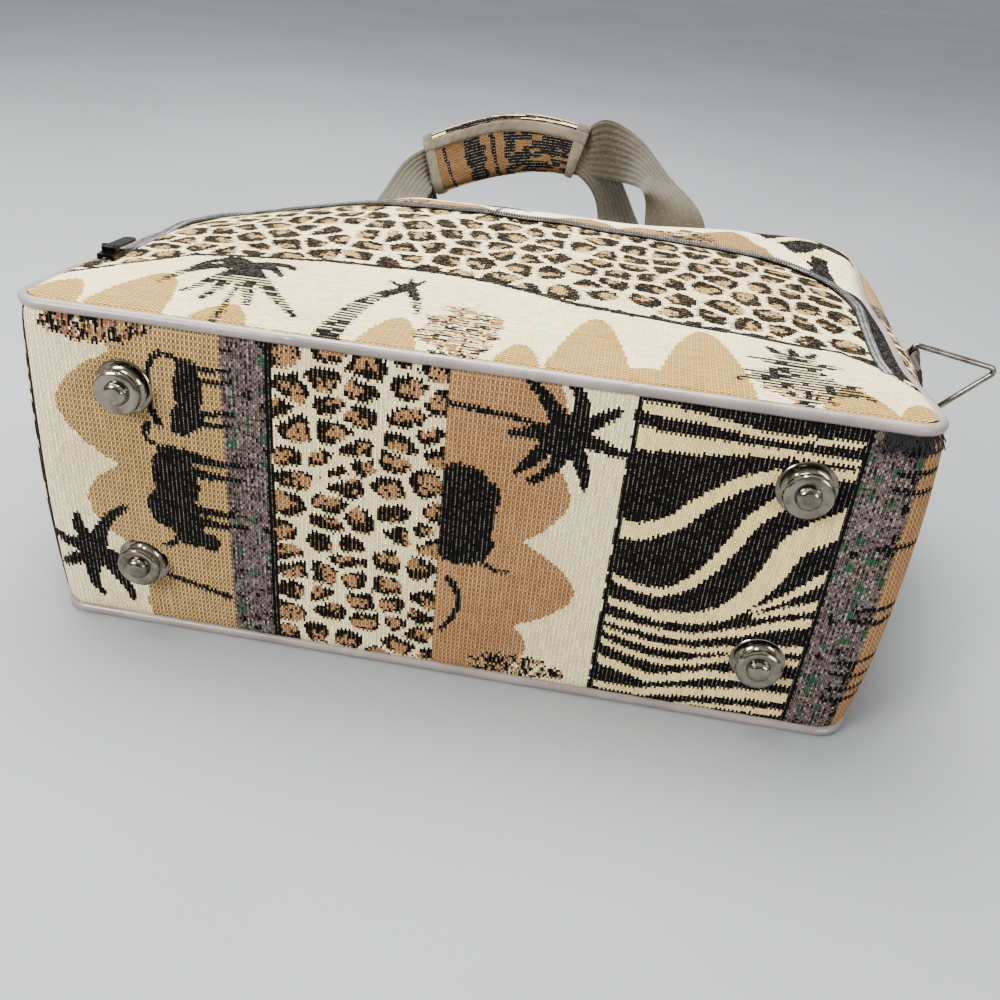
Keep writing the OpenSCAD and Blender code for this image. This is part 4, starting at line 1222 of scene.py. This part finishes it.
def make_top():
    low, high = node_box("top_strip_front")
    top_strip("top_cloth_front", "top_strip_front", low[2], high[2] + PIPING_R, 93, strip_cloth_front)
    low, high = node_box("top_strip_back")
    top_strip("top_cloth_back", "top_strip_back", low[2] - PIPING_R, high[2], 95, strip_cloth_back)
    low, high = node_box("main_zip_coil")
    x = np.arange(low[0], high[0], COIL_STEP)
    path = np.stack([x, 0 * x + high[1] - MAIN_COIL_DROP, 0 * x + (low[2] + high[2]) / 2], axis=-1)
    out = np.tile([0.0, 0.0, 1.0], (len(x), 1))
    up = np.tile([0.0, 1.0, 0.0], (len(x), 1))
    make_coil("main_coil", path, out, up, MAIN_COIL_GAP, "main_zip_coil")


def back_cloth(x, h):
    cloth = Cloth(x, h)
    humps = ((-140, 28, 44), (-84, 26, 50), (-26, 28, 42), (34, 26, 52), (92, 28, 46), (146, 26, 50))
    cloth.hills(0, 10, humps, TAN)
    cloth.palm((-110, 0), (-106, 48), 30, PALM_FRONDS)
    cloth.giraffe(60, 2, 1.0)
    cloth.grazer(-20, 26, 0.9, 1)
    cloth.line(74)
    cloth.leopard(cloth.between(75, 165), 97)
    cloth.grass(cloth.between(165, 176), 98)
    cloth.zebra(cloth.between(176, 260), np.mod(x / BAND, 1), np.clip((h - 176) / 72, 0, 1))
    return cloth


def make_back():
    cell = BACK_COARSENESS * PICK
    h = np.linspace(SEAM_IN, BODY_H - SEAM_IN, int(BODY_H / cell))
    x, h = panel_grid(h, HALF_W - SEAM_IN - body_inset(h), int(2 * HALF_W / cell))
    edge = np.minimum(np.minimum(h, BODY_H - h), HALF_W - np.abs(x))
    lift = 0.3 + 1.6 * np.exp(-np.maximum(edge, 0) / 5) + 0.5 * noise(x / 40, h / 40, 99)
    points = np.stack([x, h + BASE_Y, lift], axis=-1)
    tapestry_panel("back_cloth", "back_panel", points, x, h, back_cloth)


make_top()
make_back()

# Piping: a corded loop at the front and one at the back, with the splits that wear has left in the vinyl

PIPING_STEP = 1.6
PIPING_SIDES = 14
FRONT_SPLITS = (-68, -12, 26, 64)
BACK_SPLITS = (-45, 97)
SPLIT_DEPTH = 0.16
SPLIT_LIP = 0.06

# Loose threads: how many, how far along the corner they start, and radius of one
FRAY_COUNT = 70
FRAY_RUN = 26
FRAY_R = 0.28


def make_piping(name, node, height, splits, seed):
    half = outline_length(0) + HALF_W - TOP_CORNER_R
    s = np.linspace(0, half, int(half / PIPING_STEP) + 1)

    def loop(values, sign):
        return np.concatenate([values, sign * values[-2:0:-1]])

    x, y, nx, ny = (loop(values, sign) for values, sign in zip(outline(s, 0), (-1, 1, -1, 1)))
    path = settle(np.stack([x, y, height(y)], axis=-1))
    run = np.arange(len(path)) * PIPING_STEP
    wobble = 0.35 * (noise(run / 30, 0 * run, seed) - 0.5)
    path = path + np.stack([nx * wobble, ny * wobble, 0.5 * wobble], axis=-1)
    out = unit(np.stack([nx, ny, 0 * nx], axis=-1))
    up = unit(np.cross(headings(path, closed=True), out))
    radius = PIPING_R * (1 + 0.05 * (noise(run / 9, 0 * run, seed + 1) - 0.5))
    on_base = y < BASE_Y + 1
    for split in splits:
        radius = radius * (1 - SPLIT_DEPTH * on_base * swell(x, split, 0.9))
        radius = radius * (1 + SPLIT_LIP * on_base * swell(x, split + 3, 2.2))
    rows = swept(path, radius[:, None] * out, radius[:, None] * up, round_section(1, PIPING_SIDES))
    obj = grid_piece(name, np.concatenate([rows, rows[:1]]), tube=True)
    dress(obj, VINYL, "bag", "vinyl", node)


def make_fray():
    """Loose black threads along the seam under the front piping at the right-hand base corner."""
    start = HALF_W - BASE_CORNER_R - 10
    down = np.array([0, 0, -1])
    t = np.linspace(0, 1, 6)[:, None]
    rows = []
    for k in range(FRAY_COUNT):
        r = [float(hashed(k, j, 141)) for j in range(5)]
        x, y, nx, ny = outline(FRAY_RUN * r[0] * (0.6 + 0.4 * r[1]), start)
        root = np.array([x + 1.2 * nx, y + 1.2 * ny, front_edge_z(y) - PIPING_R + 0.2])
        out = np.array([nx, ny, 0])
        side = np.array([-ny, nx, 0])
        reach = 3 + 5 * r[2]
        bend = root + 1.6 * out + 0.45 * reach * down + (r[3] - 0.5) * reach * side
        tip = bend + (0.3 + 1.6 * r[4]) * out + 0.5 * reach * down + (r[1] - 0.5) * reach * side
        path = settle(bent(root, bend, tip, t))
        heading = headings(path)
        normal = unit(np.cross(heading, side))
        rows.append(swept(path, unit(np.cross(normal, heading)), normal, round_section(FRAY_R, 5)))
    dress(bundle_piece("corner_threads", rows), THREAD, "bag", "tapestry")


make_fray()
make_piping("piping_front_cord", "piping_front", front_edge_z, FRONT_SPLITS, 111)
make_piping("piping_back_cord", "piping_back", back_edge_z, BACK_SPLITS, 113)

# Handles: two webbing straps and the padded wrap that holds them together

STRAP_W = 38
STRAP_T = 2
STRAP_FOOT_X = 84
STRAP_SEWN_L = 24
STRAP_FOOT_Y = TOP_Y + FABRIC_T / 2 + 0.2 + STRAP_T / 2
STRAP_FRONT_Z = node_box("top_strip_front")[0][2] + 14
STRAP_BACK_Z = node_box("strap_back")[0][2]
STRAP_BUNCH = 14
STRAP_STEPS = 14
STRAP_RIBS = 9
WEB_PICK = 1.6
WEB_LANE = 1.05
WRAP_LEAN = math.radians(60)
WRAP_ACROSS = np.array([0, math.cos(WRAP_LEAN), math.sin(WRAP_LEAN)])
WRAP_RIGHT = np.array([18, TOP_Y + 55, 167.0])
WRAP_LEFT = np.array([-76, TOP_Y + 55, 148.0])
WRAP_ARCH = 9
WRAP_HALF_N = 5.6
WRAP_STEPS = 96
WRAP_SIDES = 104
WRAP_BOXINESS = 0.55
BINDING_HALF_W = 3.8
BINDING_RISE = 1.7
BINDING_IN = 9.0

# Places that the straps pass on their way from the sewn ends to the wrap: outer edge, then inner edge
FRONT_RIGHT_RUN = (
    ((96, 131, 148), (62, 139, 146)),
    ((73, 166, 162), (59, 134, 158)),
    ((53, 178, 179), (54, 152, 157)),
    ((31, 178, 188), (39, 176, 153)),
)
FRONT_LEFT_RUN = (
    ((-100, 134, 132), (-66, 134, 132)),
    ((-98, 150, 138), (-72, 146, 134)),
    ((-90, 170, 152), (-72, 168, 136)),
)
BACK_RIGHT_RUN = (
    ((94, 150, 82), (60, 138, 76)),
    ((60, 182, 126), (38, 160, 118)),
    ((40, 186, 158), (30, 172, 142)),
)
BACK_LEFT_RUN = (
    ((-102, 150, 84), (-68, 140, 80)),
    ((-96, 176, 118), (-68, 162, 108)),
    ((-86, 184, 146), (-70, 174, 128)),
)


def wrap_axis(t):
    t = np.asarray(t)[:, None]
    return mix(WRAP_RIGHT, WRAP_LEFT, t) + np.array([0, 0, WRAP_ARCH]) * np.sin(math.pi * t**0.9)


def wrap_half_w(t):
    """Half width of the wrap: it is drawn together at its right end."""
    return mix(15.5, 18.5, smooth(np.asarray(t) / 0.6))


def strap_edges(foot_z, layer, right, left):
    """Outer and inner edge places of a strap, from its right sewn end to its left one."""

    def foot(side, share):
        z = foot_z + STRAP_SEWN_L * share
        return [np.array([side * (STRAP_FOOT_X + k * STRAP_W / 2), STRAP_FOOT_Y, z]) for k in (1, -1)]

    front = np.cross(WRAP_ACROSS, [1, 0, 0])
    held = [wrap_axis([t])[0] + layer * 1.3 * front for t in (0.02, 0.2, 0.4, 0.6, 0.8, 0.98)]
    pairs = [foot(1, share) for share in (0, 0.5, 1)] + [list(p) for p in right]
    pairs += [[p + STRAP_BUNCH * WRAP_ACROSS, p - STRAP_BUNCH * WRAP_ACROSS] for p in held]
    pairs += [list(p) for p in reversed(left)] + [foot(-1, share) for share in (1, 0.5, 0)]
    return zip(*pairs)


def web_half(t, thick, square, ribs, depth, level):
    """Half thickness of webbing at shares t across it: rounded edges, and ribs along its length."""
    ribbed = depth * (np.cos(t * ribs * math.pi) - level)
    return thick / 2 * np.sqrt(np.clip(1 - np.abs(t) ** square, 0.05, 1)) + ribbed


def closed_section(t, half):
    """A flat section with the same half thickness above and below."""
    return np.stack([np.concatenate([t, t[::-1]]), np.concatenate([half, -half[::-1]])], axis=-1)


def webbing_uv(run, across):
    return np.stack(np.broadcast_arrays(run[:, None] / WEB_PICK, across[None] / WEB_LANE), axis=-1)


def make_strap(name, node, foot_z, layer, right, left):
    outer, inner = (spline(edge, STRAP_STEPS) for edge in strap_edges(foot_z, layer, right, left))
    for _ in range(5):
        for edge in (outer, inner):
            edge[15:-15] = (edge[14:-16] + 2 * edge[15:-15] + edge[16:-14]) / 4
    path, across = (outer + inner) / 2, (outer - inner) / 2
    up = unit(np.cross(headings(path), across))
    t = np.linspace(-1, 1, 37)
    section = closed_section(t, web_half(t, STRAP_T, 14, STRAP_RIBS, 0.3, 0.4))
    run = runs(path)
    uv = webbing_uv(run, section[:, 0] * STRAP_W / 2)
    obj = grid_piece(name, swept(path, across, up, section), uv, tube=True, capped=True)
    dress(obj, WEBBING, "bag", "webbing", node)


def wrap_frame(t):
    path = wrap_axis(t)
    heading = headings(path)
    across = unit(WRAP_ACROSS - (heading @ WRAP_ACROSS)[:, None] * heading)
    return path, across, np.cross(heading, across)


def boxy(v):
    """Moves a share of a circle towards that of a box."""
    return np.sign(v) * np.abs(v) ** WRAP_BOXINESS


def wrap_surface(t, a, margin=0.0):
    """Padded sleeve at shares t of its length and angles a round it; a = -90 degrees faces the front."""
    path, across, up = wrap_frame(t)
    run = np.asarray(t)[:, None]
    plump = 0.9 * np.sin(math.pi * np.clip(run, 0.03, 0.97)) ** 0.4 - 0.6
    crease = 0.9 * (noise(run * 14 + 0 * a[None], 3 * np.cos(a)[None] + 0 * run, 121) - 0.5)
    w = (wrap_half_w(t)[:, None] + margin) * boxy(np.cos(a))[None]
    n = (WRAP_HALF_N + plump + crease + margin) * boxy(np.sin(a))[None]
    return path[:, None] + across[:, None] * w[..., None] + up[:, None] * n[..., None]


def wrap_cloth(along, around, angle):
    """Stripes all round, and a scene of dark trunks on the front; the front's dark ground and the dense black
    mottle on its right are partly painted shade.
    """
    cloth = Cloth(along, around, SHADED_UMBER)
    front = (np.sin(angle) < 0) & (np.cos(angle) < 0.62)
    cloth.zebra(~front, np.mod(along / BAND, 1), np.mod(around / 44 + 0.15, 1))
    for place, half in ((90, 0.9), (80, 1.0), (62, 5.5), (50, 1.4)):
        ragged = half * (0.6 + 0.8 * noise(around / 4, along / 9, 123))
        cloth.fill(front & (np.abs(along - place - 0.1 * around) < ragged), BLACK)
    # A printed black mottle over the right of the front, made denser to paint in the shade that falls there
    grain = noise(along / 4.5, around / 2.2, 125)
    cloth.fill(front & (along < 50) & (grain > 0.33), BLACK)
    return cloth


def make_wrap():
    t = np.linspace(0, 1, WRAP_STEPS)
    a = np.linspace(0, 2 * math.pi, WRAP_SIDES + 1)
    closed = wrap_surface(t, a)
    length = np.linspace(0, float(runs(wrap_axis(t))[-1]), WRAP_STEPS)
    girth = runs(closed[WRAP_STEPS // 2])
    along = np.repeat(length[:, None], WRAP_SIDES + 1, axis=1)
    around = np.repeat(girth[None], WRAP_STEPS, axis=0)
    angle = np.repeat(a[None], WRAP_STEPS, axis=0)
    cloth = wrap_cloth(cell_middles(along), cell_middles(around), cell_middles(angle))
    uv = np.stack([around / RIB, along / PICK], axis=-1)[:, :-1]
    obj = grid_piece("wrap_cloth", closed[:, :-1], uv, cloth, tube=True)
    dress(obj, TAPESTRY, "bag", "tapestry", "handle_wrap")
    make_wrap_end("wrap_end_right", 0.0, 0.07)
    make_wrap_end("wrap_end_left", 0.94, 1.0)
    make_binding(t)


def make_wrap_end(name, low, high):
    """Bound end of the wrap: a soft band round it that rolls in at the open side."""
    a = np.linspace(0, 2 * math.pi, WRAP_SIDES + 1)[:-1]
    at_right = low < 0.5
    t = np.linspace(low, high, 8)
    margins = 0.3 + 0.7 * np.sin(math.pi * np.linspace(0.06, 0.94, 8))
    band = [wrap_surface(t, a, margin)[k] for k, margin in enumerate(margins)]
    if at_right:
        band = band[::-1]
    middle = wrap_axis([low if at_right else high])[0]
    rim = [mix(band[-1], middle, share) for share in (0.06, 0.16, 0.3)]
    obj = grid_piece(name, np.stack(band + rim), tube=True, flip=not at_right)
    dress(obj, BINDING, "bag", "webbing")


def make_binding(t):
    """Taupe binding along the wrap's front edge."""
    path, across, up = wrap_frame(t)
    k = np.linspace(-1, 1, 17)
    middle = wrap_half_w(t) - BINDING_IN
    low = WRAP_HALF_N - 0.4
    rise = BINDING_RISE * np.sqrt(np.clip(1 - np.abs(k) ** 4, 0, 1))
    w = BINDING_HALF_W * np.concatenate([k, k[::-1]])
    n = -np.concatenate([low + rise, 0 * k + low - 1.5])
    sideways = (middle[:, None] + w[None])[..., None]
    rows = path[:, None] + across[:, None] * sideways + up[:, None] * n[None, :, None]
    obj = grid_piece("wrap_edge_binding", rows, tube=True, capped=True)
    dress(obj, BINDING, "bag", "webbing", "wrap_binding")


make_strap("strap_webbing_front", "strap_front", STRAP_FRONT_Z, 1, FRONT_RIGHT_RUN, FRONT_LEFT_RUN)
make_strap("strap_webbing_back", "strap_back", STRAP_BACK_Z, -1, BACK_RIGHT_RUN, BACK_LEFT_RUN)
make_wrap()

# Rings and their tabs

RING_WIRE_R = 1.5
RING_H = 41
RING_HALF = 22
RING_BEND_R = 2.5
RING_STEP = 1.5
RING_LEFT_TURN = math.radians(72)
TAB_HALF_W = 18.6
TAB_T = 1.9
TAB_TAIL = 24
TAB_LOOP_R = RING_WIRE_R + 0.3 + 1.0
TAB_LAYERS = 2.05


def ring_line(steps=14):
    """Closed line of a ring in its own plane: bar along the second axis, point along the first."""
    corners = np.array([[0, -RING_HALF], [RING_H, 0], [0, RING_HALF]], float)
    places = []
    for k in range(3):
        before, here, after = corners[k - 1], corners[k], corners[(k + 1) % 3]
        d0, d1 = unit(here - before), unit(after - here)
        turn = math.acos(float(d0 @ d1))
        left = np.array([-d0[1], d0[0]])
        start = here - RING_BEND_R * math.tan(turn / 2) * d0
        centre = start + RING_BEND_R * left
        base = math.atan2(-left[1], -left[0])
        for a in base + turn * np.linspace(0, 1, steps):
            places.append(centre + RING_BEND_R * np.array([math.cos(a), math.sin(a)]))
    line = np.array(places)
    fine = []
    for a, b in zip(line, np.roll(line, -1, axis=0)):
        count = max(1, int(np.linalg.norm(b - a) / RING_STEP))
        fine.extend(mix(a, b, k / count) for k in range(count))
    return np.array(fine)


def make_ring(side, turn, name, body, tab_name, tab_node):
    """A wire ring on the body of its own name, turned from its side's outward direction, and its tab."""
    joint = next(j for j in frame["joints"] if j["child"] == body)
    centre = np.array(joint["pos_m"]) / MM
    bar = unit(np.array(joint["axis"], float)) * np.sign(joint["axis"][2])
    point = unit(np.array([side, 0, 0]) - bar[0] * side * bar)
    fallen = math.cos(turn) * point + math.sin(turn) * np.array([0, 1.0, 0])
    flat = ring_line()
    path = centre + flat[:, :1] * fallen + flat[:, 1:] * bar
    heading = headings(path, closed=True)
    up = np.tile(unit(np.cross(fallen, bar)), (len(path), 1))
    rows = swept(path, np.cross(heading, up), up, round_section(RING_WIRE_R, 14))
    obj = grid_piece(name, np.concatenate([rows, rows[:1]]), tube=True, flip=side < 0)
    dress(obj, NICKEL, body, "nickel", body)
    make_tab(centre, bar, point, tab_name, tab_node)


def make_tab(centre, bar, point, name, node):
    """Webbing looped round a ring's bar with both tails sewn to the side."""
    a = np.linspace(0, math.pi, 20)
    loop = np.stack([-TAB_LOOP_R * np.cos(a), TAB_LOOP_R * np.sin(a)], axis=-1)
    first = np.stack([np.full(16, -TAB_LOOP_R), np.linspace(-TAB_TAIL, -0.5, 16)], axis=-1)
    fall = np.linspace(0, 1, 18)[1:]
    sunk = mix(TAB_LOOP_R, TAB_LAYERS - TAB_LOOP_R, smooth(fall * 5.5))
    second = np.stack([sunk, -TAB_TAIL * fall], axis=-1)
    flat = np.concatenate([first, loop, second])
    path = centre + flat[:, :1] * point + flat[:, 1:] * np.array([0, 1.0, 0])
    across = np.tile(bar, (len(path), 1))
    up = np.cross(headings(path), across)
    t = np.linspace(-1, 1, 31)
    section = closed_section(t * TAB_HALF_W, web_half(t, TAB_T, 12, STRAP_RIBS, 0.16, 0.3))
    run = runs(path)
    uv = webbing_uv(run, section[:, 0])
    obj = grid_piece(name, swept(path, across, up, section), uv, tube=True, capped=True)
    dress(obj, WEBBING, "bag", "webbing", node)


make_ring(1, 0, "ring_wire_right", "ring_right", "tab_webbing_right", "ring_tab_right")
make_ring(-1, RING_LEFT_TURN, "ring_wire_left", "ring_left", "tab_webbing_left", "ring_tab_left")

# Rigid nodes that keep their own shape

for part in ("feet", "foot_washers"):
    dress_node(part, NICKEL)
for part in ("pocket_zip_slider", "pocket_zip_pull", "main_zip_slider", "main_zip_pull"):
    dress_node(part, DARK_METAL)
dress_node("base_board", BOARD)
dress_node("main_zip_tape", TAPE)

# Floor, light and camera

FLOOR_HALF = 6000
FLOOR_Z = -0.2

# Strength of the room's light: from and to a height or a place in depth, then the strengths there
OVERHEAD = (-0.1, 0.9, 0.32, 1.5)
CAMERA_SIDE = (-0.9, 0.3, 0.3, 1.0)
ROOM_TINT = (0.94, 0.97, 1.0, 1.0)

CAMERA_AT = (53.78, -462.63, 303.81)
CAMERA_RIGHT = (0.9846, 0.15214, 0.08609)
CAMERA_UP = (-0.15258, 0.50754, 0.84801)
CAMERA_BACK = (0.08532, -0.84809, 0.52294)
CAMERA_SENSOR = 36
CAMERA_LENS = 36


def make_floor():
    x = np.linspace(-FLOOR_HALF, FLOOR_HALF, 24)
    x, y = np.meshgrid(x, x, indexing="ij")
    obj = grid_piece("floor", np.stack([x, y, 0 * x + FLOOR_Z], axis=-1))
    obj.data.materials.append(floor_material())


def area_light(name, place, target, size, power, tint=(1, 1, 1)):
    data = bpy.data.lights.new(name, "AREA")
    data.energy = power
    data.size = size * MM
    data.color = tint
    obj = link(name, data)
    obj.location = Vector(place) * MM
    aim = (Vector(target) - Vector(place)).normalized()
    obj.rotation_euler = aim.to_track_quat("-Z", "Y").to_euler()


def make_world():
    """Soft room: bright overhead, dim round the horizon and dimmest on the camera's side."""
    world = bpy.data.worlds.new("studio")
    bpy.context.scene.world = world
    world.use_nodes = True
    nodes, links = world.node_tree.nodes, world.node_tree.links
    split = nodes.new("ShaderNodeSeparateXYZ")
    links.new(nodes.new("ShaderNodeTexCoord").outputs["Generated"], split.inputs[0])
    both = nodes.new("ShaderNodeMath")
    both.operation = "MULTIPLY"
    for k, (axis, values) in enumerate(((2, OVERHEAD), (1, CAMERA_SIDE))):
        ramp = nodes.new("ShaderNodeMapRange")
        links.new(split.outputs[axis], ramp.inputs[0])
        for socket, value in zip(ramp.inputs[1:5], values):
            socket.default_value = value
        links.new(ramp.outputs[0], both.inputs[k])
    back = nodes["Background"]
    back.inputs["Color"].default_value = ROOM_TINT
    links.new(both.outputs[0], back.inputs["Strength"])


def make_camera():
    data = bpy.data.cameras.new("camera")
    data.sensor_width = CAMERA_SENSOR
    data.lens = CAMERA_LENS
    data.clip_start, data.clip_end = 0.01, 50
    obj = link("camera", data)
    turn = Matrix((CAMERA_RIGHT, CAMERA_UP, CAMERA_BACK)).transposed().to_4x4()
    obj.matrix_world = Matrix.Translation(Vector(CAMERA_AT) * MM) @ turn
    bpy.context.scene.camera = obj


make_floor()
make_world()
area_light("sky", (-200, 240, 1200), (0, 20, 60), 900, 62, (1.0, 0.99, 0.97))
area_light("window", (-800, -900, 800), (0, -80, 70), 500, 30, (1.0, 0.98, 0.95))
area_light("fill", (900, -900, 420), (60, -80, 60), 500, 10)
make_camera()
